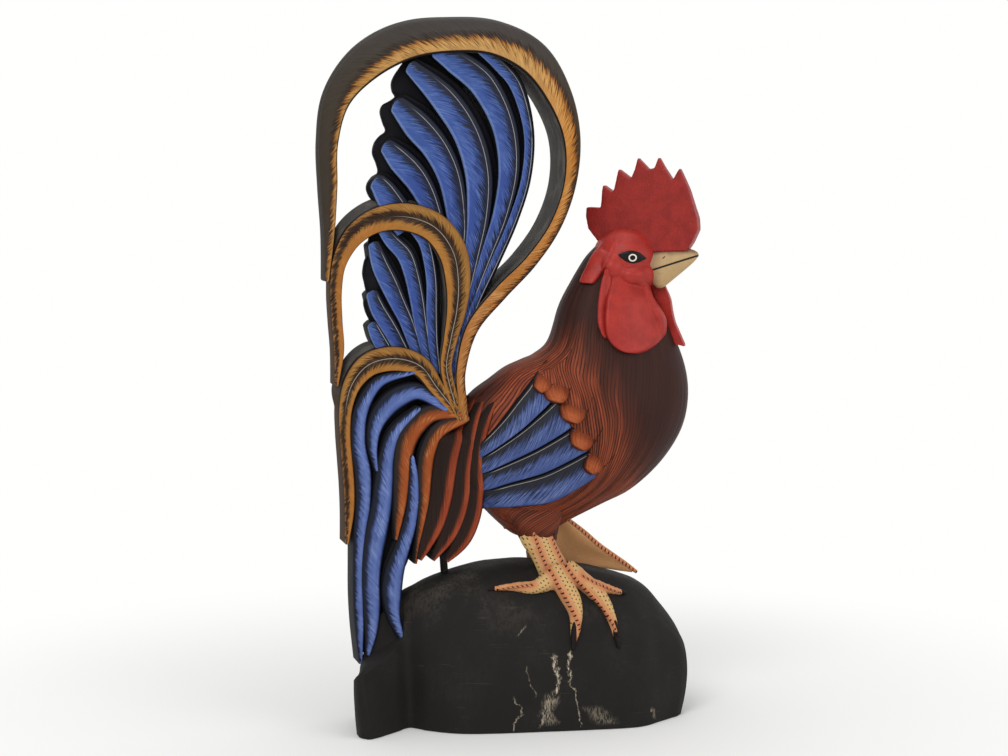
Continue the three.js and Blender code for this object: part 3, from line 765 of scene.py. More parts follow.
@dataclass
class Clay:
    """One piece while it is carved: its points in millimetres, faces and brush coordinates."""

    points: list[Grid] = field(default_factory=list)
    faces: list[list[int]] = field(default_factory=list)
    tones: list[int] = field(default_factory=list)
    lays: list[Grid] = field(default_factory=list)
    moods: list[Grid] = field(default_factory=list)

    def add(self, points: Grid, faces: list[list[int]], tones: list[int], lay: Grid, mood: Grid) -> "Clay":
        """Adds a closed body.

        Args:
            points: Its points.
            faces: Its faces, by point numbers.
            tones: The material number of each face.
            lay: Brush coordinates of each point.
            mood: Seed, warmth or share, and depth of each point.

        Returns:
            This clay.
        """
        count = sum(map(len, self.points))
        self.faces.extend([[i + count for i in face] for face in faces])
        self.tones.extend(tones)
        self.points.append(points)
        self.lays.append(lay)
        self.moods.append(mood)
        return self

    def slab(self, front: Grid, back: Grid, lay: Grid, mood: Grid, waist: Grid | None = None) -> "Clay":
        """Adds the body between two grids, with its rim in the second material.

        Args:
            front: Front grid, rows by columns by 3.
            back: Back grid of the same size.
            lay: Brush coordinates over the grid.
            mood: Moods over the grid.
            waist: Grid whose outline the rim passes through halfway, when its walls bulge.

        Returns:
            This clay.
        """
        n, m = front.shape[:2]
        size = n * m
        i, j = np.meshgrid(np.arange(n - 1), np.arange(m - 1), indexing="ij")
        corner = (i * m + j).ravel()
        quads = np.column_stack([corner, corner + m, corner + m + 1, corner + 1])
        rows, columns = np.arange(n) * m, np.arange(m)
        loop = np.concatenate([columns[:-1], rows[:-1] + m - 1, (rows[-1] + columns)[:0:-1], rows[:0:-1]])
        belts = [loop, loop + size]
        sheets = [a.reshape(-1, 3) for a in (front, back)]
        picks = [np.arange(size), np.arange(size)]
        if waist is not None:
            belts.insert(1, 2 * size + np.arange(len(loop)))
            sheets.append(waist.reshape(-1, 3)[loop])
            picks.append(loop)
        rim = np.vstack([
            np.column_stack([a, np.roll(a, -1), np.roll(b, -1), b]) for a, b in zip(belts, belts[1:])
        ])
        faces = np.vstack([quads, quads[:, ::-1] + size, rim]).tolist()
        tones = [0] * (2 * len(quads)) + [1] * len(rim)
        marks = (np.vstack([a.reshape(-1, 3)[pick] for pick in picks]) for a in (lay, mood))
        return self.add(np.vstack(sheets), faces, tones, *marks)

    def tube(self, rings: Grid, lay: Grid | None = None, mood: Grid | None = None) -> "Clay":
        """Adds a body through closed rings, with both ends shut.

        Args:
            rings: Rings, rings by points by 3.
            lay: Brush coordinates of the rings' points, if its paint needs them.
            mood: Moods of the rings' points, if its paint needs them.

        Returns:
            This clay.
        """
        n, m = rings.shape[:2]
        i, j = np.meshgrid(np.arange(n - 1), np.arange(m), indexing="ij")
        a, b = (i * m + j).ravel(), (i * m + (j + 1) % m).ravel()
        faces = np.column_stack([a, b, b + m, a + m]).tolist()
        for hub, first in ((n * m, 0), (n * m + 1, (n - 1) * m)):
            faces += [[hub, first + k, first + (k + 1) % m] for k in range(m)]
        points, *marks = (
            np.vstack([grid.reshape(-1, 3), grid[0].mean(0), grid[-1].mean(0)])
            for grid in (rings, *(0 * rings if grid is None else grid for grid in (lay, mood)))
        )
        return self.add(points, faces, [0] * len(faces), *marks)

    def mirrored(self) -> "Clay":
        """The same piece for the other side of the carving."""
        return replace(self, points=[p * (1.0, -1.0, 1.0) for p in self.points])

    def turned(self) -> "Clay":
        """The same piece moved from the head's own frame to the carving's."""
        place = np.array(Matrix.Rotation(HEAD_TURN, 3, "Z"))
        return replace(self, points=[p @ place.T + (HEAD_X, 0.0, 0.0) for p in self.points])

    def unturned(self) -> "Clay":
        """The same piece moved from the carving's frame to the head's own."""
        place = np.array(Matrix.Rotation(-HEAD_TURN, 3, "Z"))
        return replace(self, points=[(p - (HEAD_X, 0.0, 0.0)) @ place.T for p in self.points])

    def mesh(self, name: str) -> Mesh:
        """Makes the mesh, its faces turned outwards.

        Args:
            name: Its name.

        Returns:
            The mesh, in metres.
        """
        mesh = bpy.data.meshes.new(name)
        mesh.from_pydata((np.vstack(self.points) * MM).tolist(), [], self.faces)
        mesh.polygons.foreach_set("material_index", self.tones)
        carry(mesh, "lay", np.vstack(self.lays))
        carry(mesh, "mood", np.vstack(self.moods))
        work = bmesh.new()
        work.from_mesh(mesh)
        bmesh.ops.recalc_face_normals(work, faces=work.faces)
        work.to_mesh(mesh)
        work.free()
        return mesh


def carry(mesh: Mesh, key: str, values: Grid) -> None:
    """Gives a mesh brush coordinates under a name.

    Args:
        mesh: The mesh.
        key: The name.
        values: One row for each point.
    """
    if key in mesh.attributes:
        mesh.attributes.remove(mesh.attributes[key])
    made = mesh.attributes.new(key, "FLOAT_VECTOR", "POINT")
    made.data.foreach_set("vector", values.astype(np.float32).ravel())


def vertex_array(mesh: Mesh) -> Grid:
    """Reads the points of a mesh.

    Args:
        mesh: The mesh, in metres.

    Returns:
        Its points in millimetres, one row each.
    """
    flat = np.zeros(len(mesh.vertices) * 3)
    mesh.vertices.foreach_get("co", flat)
    return flat.reshape(-1, 3) / MM


def fused(clays: list[Clay], name: str, voxel: float, passes: int) -> Mesh:
    """Bodies grown into one skin and softened as by sandpaper.

    Args:
        clays: The bodies.
        name: Name of the new mesh.
        voxel: Grain of the skin, in millimetres.
        passes: How often the skin is smoothed.

    Returns:
        The skin.
    """
    joined = Clay()
    for clay in clays:
        points, lay, mood = map(np.vstack, (clay.points, clay.lays, clay.moods))
        joined.add(points, clay.faces, clay.tones, lay, mood)
    raw = bpy.data.objects.new(name + "_raw", joined.mesh(name + "_raw"))
    bpy.context.scene.collection.objects.link(raw)
    skin = raw.modifiers.new("skin", "REMESH")
    skin.mode = "VOXEL"
    skin.voxel_size = voxel * MM
    sand = raw.modifiers.new("sand", "SMOOTH")
    sand.iterations = passes
    sand.factor = 0.5
    graph = bpy.context.evaluated_depsgraph_get()
    mesh = bpy.data.meshes.new_from_object(raw.evaluated_get(graph))
    mesh.name = name
    bpy.data.objects.remove(raw)
    mesh.polygons.foreach_set("material_index", [0] * len(mesh.polygons))
    return mesh


@dataclass
class Workshop:
    """Puts finished pieces on the frame and reports them."""

    paints: dict[str, Material] = field(default_factory=dict)

    def paint(self, coat: Coat) -> Material:
        """The material of a coat, mixed once."""
        if coat.name not in self.paints:
            self.paints[coat.name] = coat.mixed()
        return self.paints[coat.name]

    def piece(
        self, name: str, shape: Clay | Mesh, coats: list[Coat], replaces: tuple[str, ...] = (),
        sharp: float = 48.0,
    ) -> None:
        """Sets a piece on the frame.

        Args:
            name: The piece's name.
            shape: Its clay, or its mesh in metres.
            coats: Coats by the shape's material numbers.
            replaces: CAD nodes that the piece stands for.
            sharp: Edges over this angle stay crisp, in degrees.
        """
        mesh = shape.mesh(name) if isinstance(shape, Clay) else shape
        for coat in coats:
            mesh.materials.append(self.paint(coat))
        mesh.shade_smooth()
        mesh.set_sharp_from_angle(angle=math.radians(sharp))
        made = bpy.data.objects.new(name, mesh)
        bpy.context.scene.collection.objects.link(made)
        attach(made, BODY_NAME)
        if replaces:
            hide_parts(*replaces)
        LOG.info("%s: %d faces, for %s", name, len(mesh.polygons), ", ".join(replaces) or "no node")

    def carved(
        self, node: str, shape: Clay | Mesh, coats: list[Coat], slot: str, sharp: float = 48.0,
    ) -> None:
        """Sets a piece on the frame in place of one CAD node, named after it."""
        self.piece("carved_" + node, shape, coats, (node,), sharp)


class Ground:
    """A carved surface that shallow pieces are laid on, seen from the viewer's side."""

    FAR_AHEAD = -200.0

    def __init__(self, *parts: Clay) -> None:
        """Takes the closed bodies that make up the surface."""
        points, faces = [], []
        for part in parts:
            faces += [[i + len(points) for i in face] for face in part.faces]
            points += [Vector(p) for p in np.vstack(part.points)]
        self.tree = BVHTree.FromPolygons(points, faces)

    def depth(self, x: Grid, z: Grid, miss: float) -> Grid:
        """Y of the surface under each place in the picture plane.

        Args:
            x: Places along X.
            z: Places along Z.
            miss: Y where nothing lies under a place.

        Returns:
            The Y values, in the shape of x.
        """
        out = np.full(x.shape, float(miss))
        for at in np.ndindex(x.shape):
            hit = self.tree.ray_cast(Vector((x[at], self.FAR_AHEAD, z[at])), Vector((0, 1, 0)))[0]
            if hit is not None:
                out[at] = min(hit.y, miss)
        return out


@dataclass(frozen=True)
class Sheet:
    """Grid of a shallow carving in the picture plane, with rows along it and columns across it."""

    x: Grid
    z: Grid
    along: Grid
    across: Grid
    half: Grid
    middle: Grid

    @property
    def share(self) -> Grid:
        """Distance along as a share of the length."""
        return self.along / self.along[-1]

    @property
    def inset(self) -> Grid:
        """Distance in from the nearer edge."""
        return (1 - np.abs(self.across)) * self.half

    def edge(self, radius: float) -> Grid:
        """Quarter-round at both edges, as a share of the height."""
        return quarter_round(self.inset / radius)

    def fill(self, clay: Clay, near: Grid, far: Grid, seed: float, waist: Grid | None = None) -> Clay:
        """Adds the body between two depths.

        Args:
            clay: The piece that takes it.
            near: Y of the face on the viewer's side.
            far: Y of the face behind it.
            seed: Seed of its paint.
            waist: Grid that the walls bulge out to.

        Returns:
            The same clay.
        """
        lay = stack(self.along, self.across, self.half)
        mood = stack(seed, self.share, 0.0 * self.across)
        return clay.slab(stack(self.x, near, self.z), stack(self.x, far, self.z), lay, mood, waist)


@dataclass(frozen=True)
class Relief:
    """Cross-section of a carved feather under its own crest line."""

    shares: Rows
    quill: float | None = None
    quill_rise: float = 0.9
    quill_half: float = 1.1
    recess: float = 0.0
    round: float = 2.0
    barbs: float = 0.25
    barb_pitch: float = 3.4

    def sink(self, at: Sheet, seed: int) -> Grid:
        """Depth under the face.

        Args:
            at: The feather's grid.
            seed: Seed of the knife marks.

        Returns:
            The depths in millimetres, positive into the wood.
        """
        table = spline(self.shares, 12)
        depth = np.interp(at.across, table[:, 0], table[:, 1]) * at.half + self.recess
        radius = np.minimum(self.round, at.half * 0.6)
        depth = depth + radius - np.sqrt(np.maximum(radius**2 - np.maximum(radius - at.inset, 0) ** 2, 0))
        off = np.abs(at.across - (self.quill or 0.0)) * at.half
        marks = Grain(seed).at((at.along + 1.4 * off) / self.barb_pitch, off / 30)
        depth = depth + self.barbs * marks * smooth_step(0.5, 4, at.inset)
        if self.quill is None:
            return depth
        quill = self.quill_rise * np.exp(-((off / self.quill_half) ** 2))
        return depth - quill * smooth_step(4, 22, at.along)


@dataclass(frozen=True)
class Feather:
    """Feather cut through the tail plank, drawn along its middle from the tip to the root."""

    line: Rows
    seed: int
    tip_round: float = 1.0
    step: float = 1.6
    columns: int = 29
    flare: float = 0.0
    flare_span: tuple[float, float] = (0.3, 0.5)
    half_least: float = 0.7
    depth_least: float = 3.0

    def plan(self) -> Sheet:
        """Lays the feather out in the picture plane.

        Returns:
            Its grid, whose columns lie closer together towards the edges.
        """
        along, x, z, half = evenly(self.line, self.step)[:, :4].T
        cap = half[0] * self.tip_round
        if cap > 1.0:
            ahead = unit(np.array([x[0] - x[1], z[0] - z[1]]))
            back = cap * np.cos(np.linspace(0, np.pi / 2, 9))[:-1]
            x = np.concatenate([x[0] + ahead[0] * back, x])
            z = np.concatenate([z[0] + ahead[1] * back, z])
            half = np.concatenate([half[0] * np.sqrt(np.maximum(1 - (back / cap) ** 2, 0.01)), half])
            along = np.concatenate([-back, along]) + cap
        half = np.maximum(half, self.half_least)
        run = unit(np.gradient(np.column_stack([x, z]), axis=0))
        across = 0.55 * np.sin(np.linspace(-np.pi / 2, np.pi / 2, self.columns))
        across = across + np.linspace(-1, 1, self.columns) * 0.45
        offset = across[None] * half[:, None]
        return Sheet(
            x[:, None] - run[:, 1:] * offset, z[:, None] + run[:, :1] * offset, along[:, None], across[None],
            half[:, None], x[:, None],
        )

    def cut(self, clay: Clay, relief: Relief, face: Callable[[Sheet], Grid]) -> Clay:
        """Carves the feather on both faces of the plank.

        Args:
            clay: The piece that takes it.
            relief: Its cross-section.
            face: Half depth of the plank over the feather's grid.

        Returns:
            The same clay.
        """
        at = self.plan()
        depth = np.maximum(face(at) - relief.sink(at, self.seed), self.depth_least)
        return at.fill(clay, -depth, depth, self.seed * 0.137, self.bulge(at) if self.flare else None)

    def bulge(self, at: Sheet) -> Grid:
        """Finds where the wall stands out past one edge, halfway through the plank.

        Args:
            at: The feather's grid.

        Returns:
            The grid that the walls pass through.
        """
        flat = stack(at.x, 0.0, at.z)
        side = np.cross(unit(np.gradient(flat, axis=0)), [0.0, 1.0, 0.0])
        first, last = self.flare_span
        swell = smooth_step(first - 0.1, first, at.share) * smooth_step(last + 0.1, last, at.share)
        return flat + self.flare * side * (smooth_step(0.4, 1.0, at.across) * swell)[..., None]


def plank_face(at: Sheet) -> Grid:
    """Half depth of the tail plank along a feather's middle line, in millimetres."""
    t = np.clip((at.middle - PLANK_EDGE_X) / PLANK_TAPER, 0, 1)
    return PLANK_EDGE_HALF + (PLANK_ROOT_HALF - PLANK_EDGE_HALF) * t * (2 - t)


HOOP_RELIEF = Relief(
    shares=((-1, 0.12), (-0.35, 0.0), (0.3, 0.02), (0.8, 0.2), (1, 0.6)), round=2.2, barbs=0.3,
)
RIBBED_HOOP_RELIEF = Relief(
    shares=((-1, 0.12), (-0.5, 0.0), (-0.05, 0.16), (0.05, 0.16), (0.45, 0.0), (0.85, 0.08), (1, 0.42)),
    quill=0.0, quill_rise=0.5, quill_half=0.7, round=2.0, barbs=0.3,
)
FAN_RELIEF = Relief(
    shares=((-1, 0.1), (-0.8, 0.0), (0.3, 0.03), (0.52, 0.08), (0.66, 0.38), (1, 0.5)),
    quill=0.28, quill_rise=0.5, quill_half=0.7, recess=5.5,
)
SICKLE_RELIEF = Relief(shares=((-1, 0.34), (-0.7, 0.12), (0.1, 0.0), (0.55, 0.06), (1, 0.42)), round=2.4)
PLUME_RELIEF = Relief(shares=((-1, 0.3), (-0.7, 0.12), (0.1, 0.0), (0.55, 0.06), (1, 0.34)), round=2.4)

BLACK = tint(12, 12, 17)
CHARCOAL = tint(38, 41, 54)
BLUE = tint(60, 84, 150)
PALE_BLUE = tint(108, 130, 182)
QUILL_GREY = tint(150, 150, 152)
UMBER = tint(66, 46, 30)

OUTER_HOOP_COAT = FeatherCoat(
    "outer_hoop_paint",
    ((-1, tint(186, 142, 88)), (-0.3, tint(192, 146, 84)), (-0.08, tint(164, 110, 56)),
     (0.0, tint(94, 62, 36)), (0.07, tint(58, 51, 47)), (0.4, tint(66, 61, 58)), (1, tint(62, 58, 56))),
    stroke=tint(38, 24, 16), rag=7.0, quill=-1.3, slant=1.2, zone=(-0.8, -0.35, 0.25, 0.5), inked=0.8,
    seam=((0.0, 0.3), (0.07, -0.3), (0.2, -0.5), (0.3, -0.3), (0.42, -0.1), (0.5, 0.0), (0.58, 0.2),
          (0.67, 0.36), (0.8, 0.5), (1.0, 0.7)),
    tint_and_shade_along=((0.0, (0.8, 0.66, 0.5)), (0.2, (0.82, 0.74, 0.56)), (0.4, WHITE), (0.5, (1.0, 0.98, 0.95)),
           (0.6, (0.98, 0.74, 0.42)), (0.8, (0.8, 0.56, 0.36)), (1.0, (0.7, 0.5, 0.36))),
    edge=(0.93, tint(18, 15, 14)), inner=(-0.84, tint(26, 20, 16)), fleck=tint(206, 172, 120),
    flecked=0.4, fleck_zone=(-1.4, -0.1),
)
RIBBED_HOOP_COAT = FeatherCoat(
    "ribbed_hoop_paint",
    ((-1, tint(168, 112, 50)), (-0.6, tint(162, 112, 52)), (-0.4, tint(136, 90, 42)),
     (-0.32, UMBER), (-0.1, tint(46, 33, 26)), (0.28, UMBER), (0.36, tint(136, 94, 44)),
     (0.6, tint(160, 114, 56)), (1, tint(120, 82, 42))),
    stroke=tint(28, 18, 13), rag=4.5, quill=0.0, slant=1.2, zone=(-0.7, -0.4, 0.5, 0.8), inked=0.85,
    seam=((0.0, 0.4), (0.34, 0.45), (0.48, 0.0), (1.0, 0.0)),
    quill_colour=tint(160, 150, 136), quill_half=0.42, quill_from=0.42,
    tint_and_shade_along=((0.0, (1.0, 0.92, 0.9)), (0.25, (0.95, 0.84, 0.8)), (0.5, WHITE), (1.0, (0.95, 0.9, 0.85))),
    edge=(0.88, tint(24, 18, 15)), inner=(-0.9, tint(24, 18, 15)), fleck=tint(190, 160, 112), flecked=0.1,
)
FAN_COAT = FeatherCoat(
    "blue_fan_paint",
    ((-1, PALE_BLUE), (-0.94, PALE_BLUE), (-0.86, BLUE), (-0.16, tint(58, 80, 142)),
     (-0.06, tint(44, 54, 84)), (0.06, CHARCOAL), (0.46, tint(34, 37, 50)), (0.58, BLACK), (1, BLACK)),
    stroke=tint(16, 20, 42), rag=10.0, quill=0.28, slant=1.5, zone=(-0.62, -0.2, 0.1, 0.26),
    quill_colour=QUILL_GREY, quill_half=0.42, inked=0.9, fleck=tint(112, 134, 184), flecked=0.45,
    fleck_zone=(-1.2, 0.0),
    # Lighter at the tips and darker towards the roots: painted highlight at the tips, and painted shade
    # where the feathers run in under the hoops.
    tint_and_shade_along=((0.0, (1.12, 1.12, 1.0)), (0.25, (1.0, 1.0, 0.98)), (0.55, (0.84, 0.84, 0.92)),
           (1.0, (0.5, 0.5, 0.56))),
)
BLUE_SICKLE_COAT = FeatherCoat(
    "blue_sickle_paint",
    ((-1, BLACK), (-0.92, tint(22, 24, 33)), (-0.55, tint(28, 31, 43)), (-0.42, tint(44, 54, 90)),
     (-0.28, tint(78, 96, 150)), (0.2, tint(92, 112, 170)), (0.62, tint(82, 102, 162)),
     (0.8, tint(44, 56, 104)), (0.9, tint(14, 16, 30)), (1, BLACK)),
    stroke=tint(24, 30, 58), rag=4.5, quill=-1.5, slant=-1.2, zone=(-0.8, -0.5, 0.0, 0.3), inked=0.5,
    fleck=tint(142, 158, 200), flecked=0.6, fleck_zone=(-0.3, 0.8),
)
RUST_SICKLE_COAT = FeatherCoat(
    "rust_sickle_paint",
    ((-1, BLACK), (-0.9, tint(30, 27, 28)), (-0.5, tint(46, 35, 30)), (-0.32, tint(110, 58, 30)),
     (0.0, tint(150, 74, 34)), (0.5, tint(156, 78, 36)), (0.72, tint(118, 54, 28)), (0.84, tint(30, 18, 16)),
     (1, BLACK)),
    stroke=tint(50, 22, 12), rag=3.5, quill=-1.5, slant=-1.6, zone=(-0.7, -0.35, 0.0, 0.3),
    inked=0.35, fleck=tint(206, 146, 88), flecked=0.5, fleck_zone=(-0.3, 0.7),
)
PLUME_COAT = FeatherCoat(
    "saddle_plume_paint",
    ((-1, BLACK), (-0.88, tint(36, 25, 21)), (0.05, tint(44, 30, 24)), (0.16, tint(96, 46, 30)),
     (0.28, tint(142, 62, 38)), (0.66, tint(158, 72, 44)), (0.82, tint(112, 48, 30)),
     (0.9, tint(16, 11, 10)), (1, BLACK)),
    stroke=tint(18, 11, 9), rag=3.0, quill=-1.5, slant=-6.0, zone=(-0.9, -0.6, 0.35, 0.6), inked=0.7,
    # Darker at the top, where the plumes sink into the body: painted shade; lighter at the hanging tips.
    tint_and_shade_along=((0.0, (0.6, 0.56, 0.54)), (0.25, (0.8, 0.76, 0.74)), (0.5, (0.95, 0.9, 0.88)),
           (0.8, (1.0, 0.94, 0.92)), (1.0, (1.08, 0.94, 0.9))),
    fleck=tint(196, 110, 70), flecked=0.5, fleck_zone=(0.2, 0.8),
)
WING_COAT = FeatherCoat(
    "wing_paint",
    ((-1, BLACK), (-0.92, BLACK), (-0.86, tint(38, 39, 46)), (-0.3, tint(42, 44, 54)),
     (-0.2, tint(54, 62, 88)), (-0.05, tint(70, 86, 134)), (0.5, tint(76, 94, 148)),
     (0.9, tint(62, 78, 130)), (0.96, BLACK), (1, BLACK)),
    stroke=tint(18, 20, 32), rag=9.0, quill=-0.78, slant=1.5, zone=(-0.6, -0.4, 0.4, 0.8), inked=0.9,
    quill_colour=tint(158, 153, 144), quill_half=0.42, quill_from=0.1, edge=(0.95, BLACK),
    # Dark at the rear end, where each feather sinks into the body beside the plumes: painted shade.
    tint_and_shade_along=((0.0, (0.2, 0.2, 0.22)), (0.03, (0.35, 0.35, 0.38)), (0.07, (0.92, 0.92, 0.92)), (1.0, WHITE)),
    fleck=tint(126, 142, 186), flecked=0.5, fleck_zone=(-0.1, 0.95),
)
SCALLOP_COAT = FeatherCoat(
    "scallop_paint",
    ((-1, BLACK), (-0.9, tint(40, 16, 11)), (-0.78, tint(146, 70, 38)), (-0.3, tint(182, 96, 54)),
     (0.3, tint(182, 96, 54)), (0.78, tint(144, 68, 36)), (0.9, tint(40, 16, 11)), (1, BLACK)),
    stroke=tint(70, 30, 18), rag=2.0, slant=-7.0, inked=0.8, quill=-1.5, zone=(-1.0, -0.9, 0.9, 1.0),
    # Black at the lip for its painted outline, then darker towards the shoulder where the scallop sinks in:
    # painted shade.
    tint_and_shade_along=((0.0, (0.1, 0.1, 0.1)), (0.07, (0.16, 0.13, 0.13)), (0.12, WHITE), (0.3, (0.95, 0.88, 0.84)),
           (0.5, (0.55, 0.46, 0.46)), (1.0, (0.4, 0.34, 0.36))),
    fleck=tint(186, 116, 80), flecked=0.25,
)
FAN_WALL = WallCoat("fan_wall_paint", tint(16, 15, 19), tint(52, 50, 52), 0.2)
HOOP_WALL = {
    name: WallCoat(name + "_wall_paint", tint(72, 70, 68), tint(128, 120, 110), 0.45, limb)
    for name, limb in {
        "outer_hoop_feather": (0.28, tint(50, 43, 38)), "middle_hoop_feather": (0.32, tint(66, 46, 30)),
        "lower_hoop_feather": (0.5, tint(62, 44, 29)),
    }.items()
}
SICKLE_WALL = WallCoat("sickle_wall_paint", tint(32, 31, 34), tint(62, 60, 58), 0.3)
SICKLE_COAT = {"blue_paint": BLUE_SICKLE_COAT, "rust_paint": RUST_SICKLE_COAT}


@dataclass
class Tail:
    """The looped hoops, the layered fans in them, the falling sickles and the saddle plumes."""

    outer_hoop: Rows = (
        (-210, 508, 3), (-207, 559, 6.5), (-207, 610, 10), (-207, 661, 11.5), (-196, 710, 15.5),
        (-164, 749, 20.5), (-120, 773, 21.5), (-70, 780, 20), (-20, 777, 20), (25, 755, 20.5),
        (54, 714, 16.5), (69, 666, 11), (67, 615, 8), (50, 567, 7.5), (21, 526, 8), (-15, 490, 9),
        (-47, 451, 8), (-60, 403, 6), (-58, 366, 5.5), (-54, 346, 4),
    )
    middle_hoop: Rows = (
        (-200, 390, 2.5), (-197, 427, 6), (-199, 460, 6.5), (-200, 494, 7), (-196, 526, 8.5),
        (-180, 556, 12), (-153, 574, 14.5), (-120, 577, 16.5), (-89, 565, 17.5), (-69, 538, 17.5),
        (-63, 505, 15.5), (-65, 472, 12), (-72, 439, 8.5), (-77, 406, 7), (-68, 368, 6), (-60, 346, 4),
    )
    lower_hoop: Rows = (
        (-190, 210, 2.5), (-187, 242, 5.5), (-187, 272, 6.5), (-189, 302, 6.5), (-191, 332, 6.5),
        (-190, 363, 8), (-182, 391, 11), (-163, 412, 14), (-134, 418, 14.5), (-106, 409, 12),
        (-88, 385, 9), (-66, 356, 6),
    )
    upper_fan: tuple[Rows, ...] = (
        ((-149, 617, 13.5), (-142, 609, 17), (-135, 599, 19), (-126, 585, 21), (-114, 567, 20)),
        ((-139, 657, 12), (-126, 645, 17.5), (-113, 632, 19), (-102, 617, 18), (-92, 596, 16),
         (-83, 566, 14)),
        ((-126, 703, 14), (-105, 683, 21), (-85, 660, 20.5), (-71, 634, 19), (-63, 605, 17), (-59, 562, 14),
         (-62, 530, 10), (-66, 500, 6)),
        ((-112, 745, 11), (-74, 712, 20), (-47, 672, 21), (-34, 626, 20), (-35, 578, 17), (-44, 530, 12),
         (-54, 483, 7.5), (-64, 432, 5), (-68, 384, 3)),
        ((-82, 766, 14), (-62, 754, 18), (-29, 728, 20.5), (-6, 682, 18), (0, 631, 15.5), (-10, 580, 12),
         (-28, 532, 9), (-46, 484, 6.5), (-61, 432, 5), (-65, 384, 3)),
        ((-38, 768, 7), (-14, 748, 8.5), (7, 722, 8.5), (20, 672, 6.5), (17, 621, 6), (2, 573, 6),
         (-19, 526, 6), (-41, 480, 6), (-59, 432, 4), (-63, 384, 3)),
    )
    middle_fan: tuple[Rows, ...] = (
        ((-157, 456, 8), (-151, 444, 10.5), (-144, 432, 11), (-135, 417, 11)),
        ((-157, 491, 9), (-150, 475, 11.5), (-141, 460, 12), (-133, 446, 11.5), (-122, 424, 11)),
        ((-155, 546, 8.5), (-147, 525, 13), (-137, 504, 14), (-128, 483, 12.5), (-119, 463, 11),
         (-111, 440, 10), (-101, 410, 8)),
        ((-146, 566, 8), (-136, 553, 10.5), (-120, 536, 12), (-112, 514, 11.5), (-106, 485, 11),
         (-101, 450, 10), (-93, 405, 7)),
        ((-112, 566, 7), (-99, 549, 8), (-93, 526, 8), (-90, 500, 8), (-90, 470, 8.5), (-89, 435, 8),
         (-85, 400, 6)),
    )
    sickles: dict[str, Rows] = field(default_factory=lambda: {
        "outer_blue_sickle": (
            (-116, 402, 3), (-152, 392, 7), (-172, 361, 9), (-176, 323, 9.5), (-171, 288, 10.5),
            (-171, 252, 9.5), (-175, 217, 8), (-177, 181, 6.5), (-177, 146, 6.5), (-176, 110, 5.5),
            (-175, 70, 2)),
        "long_blue_sickle": (
            (-110, 360, 4), (-134, 336, 8), (-144, 307, 10), (-147, 278, 12), (-150, 250, 13),
            (-156, 221, 14), (-161, 193, 13), (-163, 164, 12), (-162, 135, 11), (-163, 106, 8),
            (-167, 80, 3)),
        "short_blue_sickle": (
            (-80, 362, 5), (-108, 380, 10), (-132, 373, 13), (-149, 357, 12), (-158, 338, 9),
            (-160, 316, 6), (-156, 291, 2)),
        "inner_blue_sickle": (
            (-116, 305, 3), (-114, 278, 7), (-115, 251, 8), (-120, 225, 9), (-128, 200, 10),
            (-136, 175, 12), (-139, 149, 12), (-137, 123, 8), (-129, 99, 4)),
        "long_rust_sickle": (
            (-60, 354, 6), (-92, 355, 11), (-111, 341, 13), (-122, 322, 13), (-126, 300, 12),
            (-127, 278, 11), (-129, 256, 9), (-132, 233, 6), (-135, 212, 2)),
        "short_rust_sickle": (
            (-58, 348, 7), (-84, 336, 10), (-97, 312, 11), (-101, 286, 10), (-102, 260, 8), (-105, 235, 6),
            (-109, 209, 4), (-113, 184, 2)),
    })
    plumes: tuple[Rows, ...] = (
        ((-45, 368, 4), (-55, 356, 9), (-66, 338, 12), (-75, 313, 14), (-80, 286, 14), (-84, 258, 13),
         (-91, 230, 12), (-101, 206, 8), (-109, 189, 3)),
        ((-33, 374, 3), (-46, 350, 7), (-54, 320, 9), (-59, 292, 10), (-61, 266, 11), (-67, 240, 11),
         (-78, 214, 9), (-94, 188, 3)),
        ((-20, 374, 3), (-33, 351, 6), (-43, 320, 8), (-46, 290, 9), (-45, 260, 9.5), (-50, 235, 10.5),
         (-61, 211, 10), (-79, 187, 3)),
    )
    upper_ground: tuple[Rows, Rows] = (
        ((-150, 590), (-158, 598), (-162, 607), (-161, 614), (-155, 620), (-149, 627), (-151, 637),
         (-155, 648), (-153, 659), (-147, 667), (-140, 673), (-143, 682), (-146, 694), (-143, 702),
         (-136, 706), (-129, 711), (-132, 717), (-133, 726), (-130, 734), (-124, 743), (-116, 753),
         (-100, 768)),
        ((-112, 560), (-96, 600), (-84, 640), (-66, 690), (-46, 730), (-20, 768)),
    )
    middle_ground: tuple[Rows, Rows] = (
        ((-150, 424), (-156, 436), (-160, 448), (-159, 458), (-164, 470), (-166, 481), (-163, 490),
         (-165, 502), (-167, 513), (-165, 526), (-161, 536), (-160, 551), (-152, 564), (-140, 574)),
        ((-118, 420), (-112, 450), (-104, 490), (-98, 530), (-92, 552), (-86, 566)),
    )
    drape_ground: tuple[Rows, Rows] = (
        ((-104, 408), (-140, 398), (-162, 352), (-168, 300), (-167, 250), (-171, 200), (-171, 150),
         (-171, 112), (-177, 78)),
        ((-54, 372), (-66, 352), (-88, 330), (-101, 290), (-108, 240), (-115, 190), (-124, 168),
         (-131, 138), (-150, 92)),
    )
    ground_half: float = 7.0
    plume_half: float = 33.0
    fan_tip: float = 0.45

